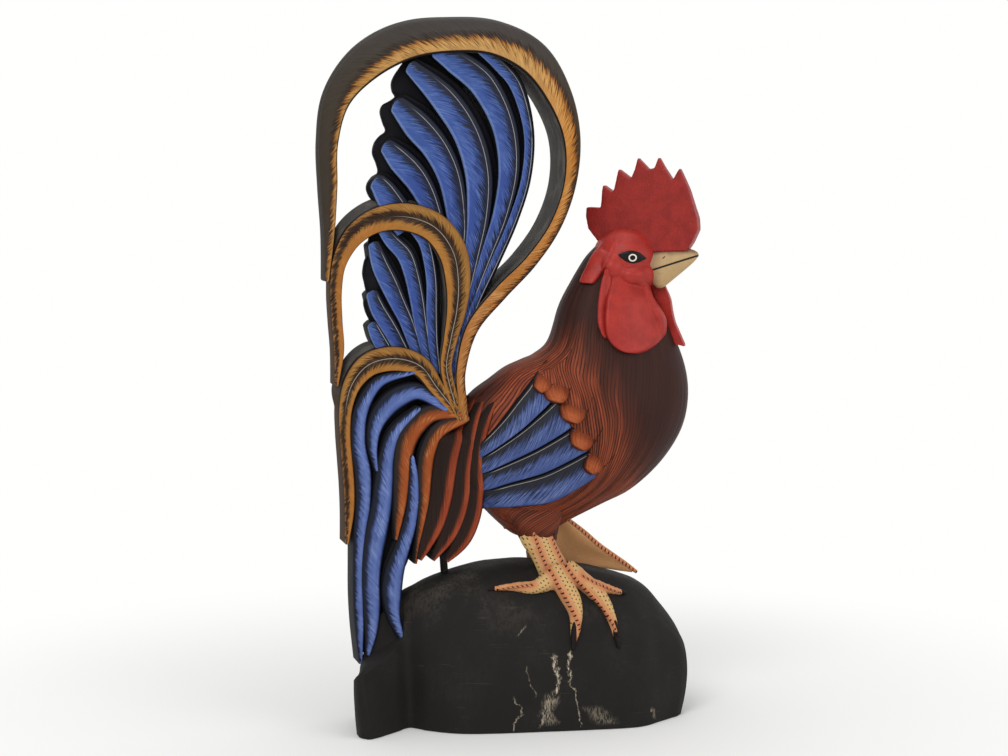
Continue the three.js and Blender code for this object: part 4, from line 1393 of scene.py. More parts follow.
    def build(self, shop: Workshop, trunk: Ground) -> None:
        """Carves and dresses the whole tail.

        Args:
            shop: Where the pieces go.
            trunk: The body's surface, which the plumes lie on.
        """
        plain, ribbed = (HOOP_RELIEF, OUTER_HOOP_COAT), (RIBBED_HOOP_RELIEF, RIBBED_HOOP_COAT)
        hoops = {
            "outer_hoop_feather": (self.outer_hoop, plain, 0.0, (0.0, 0.0)),
            "middle_hoop_feather": (self.middle_hoop, ribbed, 8.0, (0.34, 0.46)),
            "lower_hoop_feather": (self.lower_hoop, ribbed, 8.0, (0.52, 0.64)),
        }
        for seed, (node, (line, (relief, coat), flare, span)) in enumerate(hoops.items(), 1):
            feather = Feather(line, seed, columns=41, flare=flare, flare_span=span)
            clay = feather.cut(Clay(), relief, plank_face)
            shop.carved(node, clay, [coat, HOOP_WALL[node]], "hoop_paint")
        fans = {
            "upper_tail_fan": (self.upper_fan, 11, self.upper_ground),
            "middle_tail_fan": (self.middle_fan, 21, self.middle_ground),
        }
        for node, (lines, first_seed, ground) in fans.items():
            clay = Clay()
            for seed, line in enumerate(lines, first_seed):
                Feather(line, seed, tip_round=self.fan_tip).cut(clay, FAN_RELIEF, plank_face)
            shop.carved(node, clay, [FAN_COAT, FAN_WALL], "blue_paint")
            self.lay_ground(shop, node, ground)
        self.lay_ground(shop, "tail_drape", self.drape_ground)
        for seed, (node, line) in enumerate(self.sickles.items(), 31):
            paint = "rust_paint" if "rust" in node else "blue_paint"
            clay = Feather(line, seed, step=1.4).cut(Clay(), SICKLE_RELIEF, plank_face)
            shop.carved(node, clay, [SICKLE_COAT[paint], SICKLE_WALL], paint)
        self.hang_plumes(shop, trunk)

    def lay_ground(self, shop: Workshop, name: str, edges: tuple[Rows, Rows]) -> None:
        """Cuts the sunk black wood that joins feathers behind their tips.

        Args:
            shop: Where the piece goes.
            name: What it joins.
            edges: Its outer and its inner edge.
        """
        at = Pad(*edges, 0.0, 0, rows=150, columns=9).plan()
        depth = self.ground_half * (0.55 + 0.45 * at.edge(4.0))
        clay = at.fill(Clay(), -depth, depth, 0.0)
        shop.piece(name + "_ground", clay, [FAN_WALL, FAN_WALL], sharp=70)

    def hang_plumes(self, shop: Workshop, trunk: Ground) -> None:
        """Lays the saddle plumes over the body's rear and lets their tips hang free.

        Args:
            shop: Where the piece goes.
            trunk: The body's surface.
        """
        def face(at: Sheet) -> Grid:
            """Half depth that lies on the body's flank and sinks into it at the top.

            Args:
                at: The strand's grid.

            Returns:
                The half depths over the grid.
            """
            flank = -trunk.depth(at.x, at.z, 0.0)
            hung = (self.plume_half + 9 * smooth_step(-95, -62, at.x)) * smooth_step(352, 322, at.z)
            return np.maximum(hung, flank + 3.2 - 4.4 * smooth_step(345, 380, at.z))

        clay = Clay()
        for seed, line in enumerate(self.plumes, 41):
            Feather(line, seed, step=1.8).cut(clay, PLUME_RELIEF, face)
        shop.carved("saddle_plumes", clay, [PLUME_COAT, SICKLE_WALL], "rust_paint")


@dataclass
class Trunk:
    """The body from the neck to the rump, with its two feathered thighs."""

    pairs: Rows = (
        (106, 540, 160, 508, 27), (94, 527, 174, 482, 33), (78, 501, 199, 438, 43),
        (64, 474, 214, 398, 52), (51, 434, 217, 362, 61), (35, 419, 208, 326, 68), (19, 412, 184, 290, 70),
        (0, 404, 149, 259, 70), (-19, 391, 113, 242, 66), (-38, 378, 78, 226, 61), (-51, 364, 42, 208, 54),
        (-61, 346, 12, 208, 48), (-70, 322, -12, 226, 43), (-74, 302, -32, 248, 38),
    )
    thigh_rows: Rows = ((16, 262, 42, 5), (18, 250, 40, 8.5), (22, 236, 34, 13), (26, 223, 27, 15.5),
                        (28, 211, 22, 12))
    partings: Rows = (
        (0, 0.78, 0.78), (2, 0.78, 0.78), (3.5, 0.775, 0.785), (5, 0.72, 0.795), (6, 0.615, 0.8),
        (7, 0.49, 0.78), (8, 0.37, 0.735), (9, 0.32, 0.69), (10, 0.345, 0.67), (13, 0.4, 0.67),
    )
    squareness: float = 2.15
    thigh_y: float = 36.0
    around: int = 340
    groove_pitch: float = 5.0
    groove_depth: float = 0.9
    half_girth: float = 226.0
    far_offset: float = 40.0

    def rings(self) -> Grid:
        """Draws the body before the knife lines.

        Returns:
            Its smooth rings, from the neck to the rump.
        """
        rows = spline(self.pairs, 14)
        angle = circle(self.around)
        across, deep = (bowed(part, 2 / self.squareness) for part in (np.cos(angle), np.sin(angle)))
        middle = (rows[:, :2] + rows[:, 2:4]) / 2
        reach = (rows[:, 2:4] - rows[:, :2]) / 2
        x = middle[:, :1] + reach[:, :1] * across
        z = middle[:, 1:] + reach[:, 1:] * across
        return np.stack([x, rows[:, 4:5] * deep, z], -1)

    def parted(self, count: int, turn: Grid) -> Grid:
        """Places across the strands, which part in front of the wing.

        Those below the parting crowd towards the breast and those above it towards the back. Inside it,
        where the wing lies, the lower ones run straight on.

        Args:
            count: Number of rings.
            turn: Places round each ring, 0 at the breast and 1 at the back.

        Returns:
            Places from 0 to 1, by rings and points.
        """
        table = spline(self.partings, 12)
        at = np.linspace(0, len(self.pairs) - 1, count)[:, None]
        low, high = (np.interp(at, table[:, 0], table[:, k]) for k in (1, 2))
        middle = table[0, 1]
        below = turn * middle / low
        above = 1 - (1 - turn) * (1 - middle) / (1 - high)
        return np.where(turn < low, below, np.where(turn > high, above, middle + turn - low))

    def smooth(self) -> Clay:
        """The body without knife lines, for pieces that lie on it."""
        return Clay().tube(self.rings()[::2, ::4])

    def build(self, shop: Workshop) -> None:
        """Carves the streaked body and thighs.

        Args:
            shop: Where the piece goes.
        """
        rings = self.rings()
        n, m = rings.shape[:2]
        turn = (np.roll(rings, -1, 1) - np.roll(rings, 1, 1)) / 2
        normal = unit(np.cross(np.gradient(rings, axis=0), turn))
        centre = rings.mean(1)[:, None]
        normal *= np.sign((normal * (rings - centre)).sum(2))[..., None]
        steps = np.linalg.norm(np.diff(rings, axis=0), axis=2).mean(1)
        along = np.concatenate([[0], np.cumsum(steps)])[:, None]
        angle = circle(m)
        arc = self.parted(n, np.minimum(angle, 2 * np.pi - angle) / np.pi) * self.half_girth
        apart = np.where(angle > np.pi, self.far_offset, 0.0)
        marks = Grain(61)
        line = marks.at(arc / self.groove_pitch + apart, along / 70)
        fine = marks.at(arc / 2.1 + apart + 90, along / 45)
        warmth = self.warmth(rings)
        cut = self.groove_depth * (0.3 + 0.7 * warmth) * smooth_step(0.55, 0.15, line) + 0.2 * fine * warmth
        carved = rings - normal * (cut * smooth_step(0, 30, along))[..., None]
        lay = stack(along, arc + apart * 3, 0 * along)
        mood = stack(apart, warmth, smooth_step(0.3, 0.12, line) * warmth)
        clay = Clay().tube(carved, lay, mood)
        for side in Side:
            self.thigh(clay, side)
        shop.carved("body", clay, [StreakCoat("body_paint")], "body_paint", 60)

    @staticmethod
    def warmth(points: Grid) -> Grid:
        """How warm the streaks are: cold at the neck and breast, warm at the back, wing and belly.

        Args:
            points: Places on the body.

        Returns:
            Warmth from 0.02 to 1 at each place.
        """
        x, z = points[..., 0], points[..., 2]
        breast = smooth_step(88, 170, x + 0.45 * (z - 330))
        neck = smooth_step(392, 446, z - 0.35 * x)
        saddle = smooth_step(-16, -44, x - 0.5 * (z - 360))
        low = smooth_step(280, 236, z)
        return np.clip(0.95 * (1 - np.maximum(breast, neck)) * (1 - 0.55 * saddle) + 0.2 * low, 0.02, 1)

    def thigh(self, clay: Clay, side: Side) -> None:
        """Adds a thigh whose lines run down to the leg.

        Args:
            clay: The body's clay.
            side: The side that it is on.
        """
        middle, height, wide, deep = (column[:, None] for column in spline(self.thigh_rows, 10).T)
        angle = circle(120)
        turn = np.minimum(angle, 2 * np.pi - angle)
        low = smooth_step(226, 204, height)
        marks = Grain(67).at(turn * 30 / np.pi + height * 0.6, height / 40)
        scallop = 1 + 0.05 * np.cos(angle * 9) * smooth_step(230, 205, height)
        swell = scallop - 0.05 * smooth_step(0.5, 0.1, marks)
        x = middle + wide * np.cos(angle) * swell
        y = side.value * self.thigh_y + deep * np.sin(angle) * swell
        z = height - 0.1 * wide * np.cos(angle) - 5.0 * np.abs(np.sin(angle * 4.5)) * low
        lay = stack(780 - height, turn * 26 + height * 1.6, 0.0)
        clay.tube(stack(x, y, z), lay, stack(0.0, 0.75 - 0.35 * low, smooth_step(0.35, 0.1, marks)))


@dataclass(frozen=True)
class Pad:
    """Shallow piece between two edges in the picture plane, laid on a carved ground."""

    upper: Rows
    lower: Rows
    proud: float
    seed: int
    rows: int = 90
    columns: int = 33

    def plan(self) -> Sheet:
        """Lays the pad out in the picture plane.

        Returns:
            Its grid.
        """
        edges = []
        for rows in (self.upper, self.lower):
            curve = evenly(rows, 1.0)
            t = np.linspace(0, curve[-1, 0], self.rows)
            edges.append(np.column_stack([np.interp(t, curve[:, 0], curve[:, k]) for k in (1, 2)]))
        across = np.linspace(-1, 1, self.columns)
        share = ((across + 1) / 2)[None, :, None]
        grid = edges[0][:, None] * (1 - share) + edges[1][:, None] * share
        middle = grid[:, self.columns // 2]
        half = np.maximum(np.linalg.norm(edges[1] - edges[0], axis=1)[:, None] / 2, 0.6)
        return Sheet(grid[..., 0], grid[..., 1], walked(middle)[:, None], across[None], half, middle[:, :1])

    def lay_on(
        self, clay: Clay, ground: Ground, height: Callable[[Sheet], Grid], miss: float = 0.0,
        root: float = 2.5,
    ) -> Clay:
        """Raises the piece off its ground.

        Args:
            clay: The piece that takes it.
            ground: The surface under it.
            height: Share of the full height over the pad's grid.
            miss: Y where the ground is missing.
            root: How deep the piece is let into the ground.

        Returns:
            The same clay.
        """
        at = self.plan()
        base = ground.depth(at.x, at.z, miss)
        return at.fill(clay, base - self.proud * height(at), base + root, self.seed * 0.171)


def beside(curve: Grid, half: Grid) -> list[Rows]:
    """Both edges of a band.

    Args:
        curve: Its middle line.
        half: Its half width at each point of the line.

    Returns:
        The edges, the one to the line's right first.
    """
    run = unit(np.gradient(curve, axis=0))
    side = np.column_stack([-run[:, 1], run[:, 0]])
    return [tuple(map(tuple, curve + sign * side * half[:, None])) for sign in (-1, 1)]


@dataclass
class Wings:
    """Wing feathers on both flanks, and the scallops over their shoulder edge."""

    feathers: tuple[tuple[Rows, Rows, float], ...] = (
        (((-47, 316), (-30, 334), (-15, 352), (0, 371), (18, 392), (20, 394)),
         ((-47, 301), (-20, 320), (8, 342), (36, 368), (40, 371)), 8.0),
        (((-46, 302), (-20, 320), (8, 342), (37, 368), (41, 371)),
         ((-45, 284), (-16, 298), (20, 316), (52, 335), (58, 339)), 7.2),
        (((-45, 285), (-16, 298), (20, 316), (54, 336), (60, 340)),
         ((-41, 265), (-10, 276), (30, 288), (71, 308), (77, 311)), 6.4),
        (((-41, 266), (-10, 276), (30, 288), (73, 309), (79, 312)),
         ((-41, 245), (0, 248), (43, 253), (84, 276), (90, 281)), 5.6),
    )
    scallops: Rows = (
        (33, 393, 10.5, 44), (43, 385, 17, 76), (61, 362, 17.5, 68), (72, 331, 17, 60), (89, 301, 14, 50),
    )
    scallop_long: float = 20.0
    scallop_proud: float = 10.5
    flank_y: float = -34.0

    def build(self, shop: Workshop, trunk: Ground) -> None:
        """Carves both wings with their scallops.

        Args:
            shop: Where the pieces go.
            trunk: The body's surface.
        """
        wing, cover = Clay(), Clay()
        for seed, (upper, lower, proud) in enumerate(self.feathers, 51):
            Pad(upper, lower, proud, seed, rows=100).lay_on(wing, trunk, self.feather_height, self.flank_y)
        for seed, (x, z, half, turn) in enumerate(self.scallops, 71):
            pad = self.scallop(x, z, half, math.radians(turn), seed)
            pad.lay_on(cover, trunk, self.scallop_height, self.flank_y)
        for side in Side:
            if side is Side.FAR:
                wing, cover = wing.mirrored(), cover.mirrored()
            shop.carved(side.label("wing"), wing, [WING_COAT, FAN_WALL], "wing_paint")
            shop.piece("carved_" + side.label("scallops"), cover, [SCALLOP_COAT, FAN_WALL],
                       (side.label("shoulder_scallops"),))

    @staticmethod
    def feather_height(at: Sheet) -> Grid:
        """Height over a wing feather: a sunk upper edge, a quill under it and a full lower edge.

        Args:
            at: The feather's grid.

        Returns:
            Shares of the full height.
        """
        off = (at.across + 0.82) * at.half
        crest = 0.62 + 0.3 * smooth_step(-1, 0.9, at.across) + 0.13 * np.exp(-((off / 1.1) ** 2))
        ends = (0.1 + 0.9 * smooth_step(0, 0.14, at.share)) * (1 - 0.4 * smooth_step(0.86, 1.0, at.share))
        return crest * (0.35 + 0.65 * at.edge(2.4)) * ends

    def scallop(self, x: float, z: float, half: float, turn: float, seed: int) -> Pad:
        """Outline of one scallop, its rounded lip towards the wing.

        Args:
            x: Middle along X.
            z: Middle along Z.
            half: Half its width.
            turn: Slope of its length from the lip up to the shoulder, in radians.
            seed: Seed of its paint.

        Returns:
            The pad.
        """
        t = np.linspace(0, 1, 13)
        reach = self.scallop_long * (-0.95 + 1.9 * t)
        width = half * np.sqrt(np.clip(1 - (1 - np.minimum(t, 0.5) / 0.5) ** 2, 0.004, 1))
        along = np.array([math.cos(turn), math.sin(turn)])
        lower, upper = beside(np.array([x, z]) + reach[:, None] * along, width)
        return Pad(upper, lower, self.scallop_proud, seed, rows=56, columns=37)

    @staticmethod
    def scallop_height(at: Sheet) -> Grid:
        """Height over a scallop: a full round lip that sinks into the shoulder."""
        lip = quarter_round(at.share * 30 / 4) * at.edge(4)
        return lip * (1 - 1.6 * smooth_step(0.2, 0.8, at.share))


@dataclass
class Head:
    """Face, comb, beak, wattles and ear lobes, in the head's own turned frame."""

    skull: Rows = (
        (0, 0, 528, 38, 33, 35), (8, 0, 510, 33, 34, 22), (13, 0, 509, 25, 38, 17), (-7, 0, 520, 22, 35, 22),
        (-4, 0, 517, 20, 46, 26),
    )
    comb: Rows = (
        (-30, 545), (-43, 561), (-46, 576), (-45, 586), (-28, 585), (-26, 612), (-13, 603), (-7, 630),
        (8, 619), (12, 628), (16, 643), (29, 630), (36, 631), (41, 644), (48, 632), (58, 617), (66, 631),
        (77, 608), (88, 574), (89, 561), (82, 546), (76, 537), (36, 535), (24, 530), (-10, 530),
    )
    comb_half: float = 7.5
    beak: Rows = (
        (26, 529, 514, 13), (32, 535.5, 503, 13), (38, 538, 494.5, 12.5), (45, 538.8, 493.5, 12),
        (53, 539.2, 499, 11), (61, 539.5, 505.5, 10), (68, 539.6, 511.2, 8.5), (75, 539.2, 517, 7),
        (81.5, 538, 522.7, 5), (86, 536, 527.5, 3), (88.3, 533.5, 530.5, 1.2),
    )
    wattle_left: Rows = (
        (-1, 508), (-3.5, 496), (-4.5, 484), (-4.5, 471), (-3.5, 456), (-1, 443), (4, 433.5), (12, 426),
        (21, 422), (32, 420.5),
    )
    wattle_right: Rows = (
        (31, 508), (33, 496), (36, 486), (41, 477), (47, 469), (52, 460), (53.5, 450), (52, 440),
        (47, 430.5), (40, 424), (32, 420.5),
    )
    far_wattle_left: Rows = ((12, 502), (12, 484), (18, 464), (28, 448), (42, 436), (57, 429), (69.5, 426))
    far_wattle_right: Rows = (
        (42, 504), (47, 493), (52, 480), (54.5, 466), (57.5, 454), (62, 444), (66.5, 434), (70, 427),
    )
    lobe_left: Rows = (
        (-8, 517), (-11, 510), (-13, 499), (-13.5, 481), (-13, 468), (-11, 454.5), (-7, 444.6), (-2.5, 438),
    )
    lobe_right: Rows = (
        (-5, 517), (-2, 504), (-2, 490), (-1.5, 475), (-0.5, 459), (2, 446), (3.5, 440),
    )
    flap_left: Rows = ((-16, 552), (-22, 545), (-28.6, 534), (-33, 520), (-36.7, 510), (-39, 501))
    flap_right: Rows = ((0, 552), (-3, 538), (-6, 524), (-12, 512), (-18, 503), (-21, 499.5))
    eye_top: Rows = ((2.4, 532.6), (9.5, 535.8), (17, 537.2), (25.5, 534.4), (32, 528))
    eye_bottom: Rows = ((2.4, 532.6), (9.5, 526), (18, 522.6), (25.5, 524), (32, 528))
    eye_middle: tuple[float, float] = (18.8, 529)
    flap_proud: float = 6.0
    wattle_proud: float = 10.0
    lobe_proud: float = 8.0
    eye_proud: float = 0.9

    def build(self, shop: Workshop, trunk: Clay) -> None:
        """Carves and dresses the head.

        Args:
            shop: Where the pieces go.
            trunk: The smooth body, whose neck the wattles lie on.
        """
        eggs = [self.egg(row) for row in self.skull]
        under = Ground(*eggs, trunk.unturned())
        flap = Pad(self.flap_left, self.flap_right, self.flap_proud, 81, rows=50)
        flap = flap.lay_on(Clay(), under, self.flap_height, -14.0, 6.0)
        red = RedCoat("red_paint", tint(166, 46, 38), tint(132, 32, 28))
        skin = self.turned_skin([*eggs, flap, flap.mirrored()], "head", 6)
        shop.carved("head", skin, [red], "red_paint", 80)
        self.build_comb(shop)
        beak = Clay().tube(*self.beak_rings())
        shop.carved("beak", beak.turned(), [BeakCoat()], "beak_paint", 70)
        wattles = ((self.wattle_left, self.wattle_right), (self.far_wattle_left, self.far_wattle_right))
        lobes = ((self.lobe_left, self.lobe_right),) * 2
        kinds = (
            ("wattle", wattles, self.wattle_proud, self.wattle_height),
            ("ear_lobe", lobes, self.lobe_proud, self.lobe_height),
        )
        for k, (name, outlines, proud, height) in enumerate(kinds):
            for side, edges, seed in zip(Side, outlines, (83 + k, 87 + k)):
                clay = Pad(*edges, proud, seed, columns=41).lay_on(Clay(), under, height, -12.0, 5.0)
                clay = clay if side is Side.NEAR else clay.mirrored()
                shop.carved(side.label(name), clay.turned(), [red, red], "red_paint", 70)
        self.build_eyes(shop, Ground(*eggs))

    def build_eyes(self, shop: Workshop, skull: Ground) -> None:
        """Lays the painted eyes on the face.

        Args:
            shop: Where the pieces go.
            skull: The face's surface.
        """
        pad = Pad(self.eye_top, self.eye_bottom, self.eye_proud, 91, columns=41)
        clay = pad.lay_on(Clay(), skull, self.eye_height, -10.0, 1.5)
        at = pad.plan()
        x, z = at.x - self.eye_middle[0], at.z - self.eye_middle[1]
        clay.lays = [np.tile(stack(x, z, 0.0).reshape(-1, 3), (2, 1))]
        clay.points[0][: x.size, 1] -= 0.45 * np.exp(-(((np.hypot(x, z) - EYE_RING) / 0.8) ** 2)).ravel()
        coat = EyeCoat("eye_paint")
        for side in Side:
            done = (clay if side is Side.NEAR else clay.mirrored()).turned()
            shop.piece(side.label("painted_eye"), done, [coat, coat], sharp=70)

    @staticmethod
    def eye_height(at: Sheet) -> Grid:
        """Height over the eye: a low even skin of paint."""
        return 0.55 + 0.45 * at.edge(3) * np.sin(np.pi * at.share) ** 0.5

    @staticmethod
    def flap_height(at: Sheet) -> Grid:
        """Height over the ear flap: thick at its lower corner."""
        return smooth_step(-0.1, 0.6, at.share) * at.edge(2.5)

    @staticmethod
    def wattle_height(at: Sheet) -> Grid:
        """Height over a wattle: a full lobe that grows out of the cheek."""
        return smooth_step(-0.04, 0.35, at.share) * at.edge(6) * quarter_round((1 - at.share) * 96 / 5)

    @staticmethod
    def lobe_height(at: Sheet) -> Grid:
        """Height over an ear lobe: a strip with a rolled rear edge."""
        roll = 0.7 + 0.3 * np.cos((at.across + 0.35) * np.pi)
        return roll * at.edge(3) * quarter_round(np.minimum(at.share, 1 - at.share) * 80 / 3)

    @staticmethod
    def egg(row: tuple[float, ...]) -> Clay:
        """Makes a closed egg.

        Args:
            row: Its middle and its three radii.

        Returns:
            The egg.
        """
        turn = circle(48)
        rise = np.linspace(0.03, np.pi - 0.03, 30)[:, None]
        ball = stack(np.sin(rise) * np.cos(turn), np.sin(rise) * np.sin(turn), np.cos(rise))
        return Clay().tube(np.array(row[:3]) + np.array(row[3:]) * ball)

    @staticmethod
    def turned_skin(clays: list[Clay], name: str, passes: int) -> Mesh:
        """Grows bodies into one skin and turns it with the head.

        Args:
            clays: The bodies, in the head's own frame.
            name: Name of the new mesh.
            passes: How often the skin is smoothed.

        Returns:
            The skin in the carving's frame.
        """
        skin = fused(clays, name, 1.1, passes)
        skin.transform(Matrix.Translation((HEAD_X * MM, 0, 0)) @ Matrix.Rotation(HEAD_TURN, 4, "Z"))
        return skin

    def build_comb(self, shop: Workshop) -> None:
        """Saws the comb out, thinner towards its spikes, and rounds its edges.

        Args:
            shop: Where the piece goes.
        """
        x, z = np.asarray(self.comb, float).T
        count = len(x)
        thick = self.comb_half * (1.12 - 0.45 * smooth_step(560, 650, z))
        points = np.vstack([stack(x, -thick, z), stack(x, thick, z)])
        faces = [list(face) for face in tessellate_polygon([[Vector((x, z, 0)) for x, z in self.comb]])]
        faces += [[i + count for i in reversed(face)] for face in faces]
        faces += [[i, (i + 1) % count, (i + 1) % count + count, i + count] for i in range(count)]
        clay = Clay().add(points, faces, [0] * len(faces), 0 * points, 0 * points)
        coat = RedCoat("comb_paint", tint(150, 38, 32), tint(118, 26, 23))
        shop.carved("comb", self.turned_skin([clay], "comb", 9), [coat], "red_paint", 80)

    def beak_rings(self) -> tuple[Grid, Grid]:
        """Draws the beak with its mouth line.

        Returns:
            Its rings, and the same as its brush coordinates.
        """
        x, top, bottom, half = (column[:, None] for column in spline(self.beak, 14).T)
        angle = circle(96)
        z = (top + bottom) / 2 + (top - bottom) / 2 * np.sin(angle)
        y = half * bowed(np.cos(angle), 0.82) * (1 - 0.25 * np.clip(np.sin(angle), 0, 1))
        gape = z - (MOUTH_Z + x * MOUTH_SLOPE)
        y = y * (1 - 0.09 * np.exp(-(gape**2))) * (1 + 0.05 * smooth_step(-0.5, 1.5, gape))
        rings = stack(x, y, z)
        return rings, rings


@dataclass
class Mound:
    """The log that the rooster stands on."""

    stations: Rows = (
        (-189, -85, -70, 84, 1.6, -4), (-184, -90, -48, 92, 1.6, -4), (-178, -90, -16, 100, 1.6, -1),
        (-168, -85, 18, 111, 1.6, 0), (-156, -75, 36, 122, 1.6, 0), (-142, -63, 50, 133, 1.7, 0),
        (-124, -48, 58, 148, 1.8, 0), (-106, -68, 66, 158, 2, 0), (-76, -89, 84, 169, 2.3, 0),
        (-37, -98, 98, 177, 2.4, 0), (17, -103, 106, 180, 2.5, 0), (82, -108, 106, 173, 2.5, 0),
        (130, -107, 102, 161, 2.4, 0), (162, -88, 94, 147, 2.3, 2), (182, -76, 84, 126, 2.4, 6),
        (196, -68, 74, 106, 2.6, 9), (204, -60, 64, 90, 2.8, 11),
    )
    ledge: Rows = ((-190, 68), (-170, 74), (-145, 86), (-127, 100), (-118, 240))
    dent_deep: float = 0.016
    dent_high: float = 0.010

    def arch(self, rows: Grid, around: int) -> Grid:
        """Arched sections of the log, from its front foot over the top to the back.

        Args:
            rows: Sampled stations.
            around: Points on each section.

        Returns:
            The sections, rows by points by 3.
        """
        angle = np.linspace(0, np.pi, around)[None]
        x, front, back, height, squareness, undercut = (column[:, None] for column in rows.T)
        rise = np.abs(np.sin(angle)) ** (2 / squareness)
        y = (front + back) / 2 - bowed(np.cos(angle), 2 / squareness) * (back - front) / 2
        return stack(x - undercut * (1 - rise) ** 2, y, rise * height)

    def top(self, x: float, y: float) -> float:
        """Height of the log's top over a place.

        Args:
            x: Its X.
            y: Its Y.

        Returns:
            The height in millimetres.
        """
        rows = spline(self.stations, 8)
        _, front, back, height, squareness, _ = rows[np.argmin(np.abs(rows[:, 0] - x))]
        share = min(abs(2 * y - front - back) / (back - front), 0.98)
        return height * (1 - share**squareness) ** (1 / squareness)

    def build(self, shop: Workshop) -> None:
        """Carves the log with its shallow adze marks and the ledge under the tail's tips.

        Args:
            shop: Where the piece goes.
        """
        shell = self.arch(spline(self.stations, 9), 150)
        m = shell.shape[1]
        marks = Grain(5)
        dent = marks.at(shell[..., 0] / 30, np.linspace(0, 12, m)[None])
        dent = dent + 0.5 * marks.at(shell[..., 0] / 11 + 40, np.linspace(0, 34, m)[None])
        fade = np.sin(np.linspace(0, np.pi, m))[None] ** 0.3
        shell[..., 1] *= 1 - self.dent_deep * dent * fade
        shell[..., 2] *= 1 - self.dent_high * dent * fade
        ledge = np.interp(shell[..., 0], *np.transpose(self.ledge))
        ahead = smooth_step(-13, -19, shell[..., 1])
        shell[..., 2] -= ahead * 0.9 * np.maximum(shell[..., 2] - ledge, 0)
        under = np.linspace(1, 0, 14)[None, 1:-1, None]
        rings = np.concatenate([shell, shell[:, -1:] * under + shell[:, :1] * (1 - under)], 1)
        eased = ((0.9, 3.2), (0.97, 1.6))
        left = [rings[:1] * (1, share, share) - (out, 0, 0) for share, out in eased]
        right = [rings[-1:] * (1, share, share) + (out, 0, 0) for share, out in reversed(eased)]
        clay = Clay().tube(np.concatenate([*left, rings, *right]))
        shop.piece("carved_log", clay, [LogCoat()], ("base_mound",), 60)


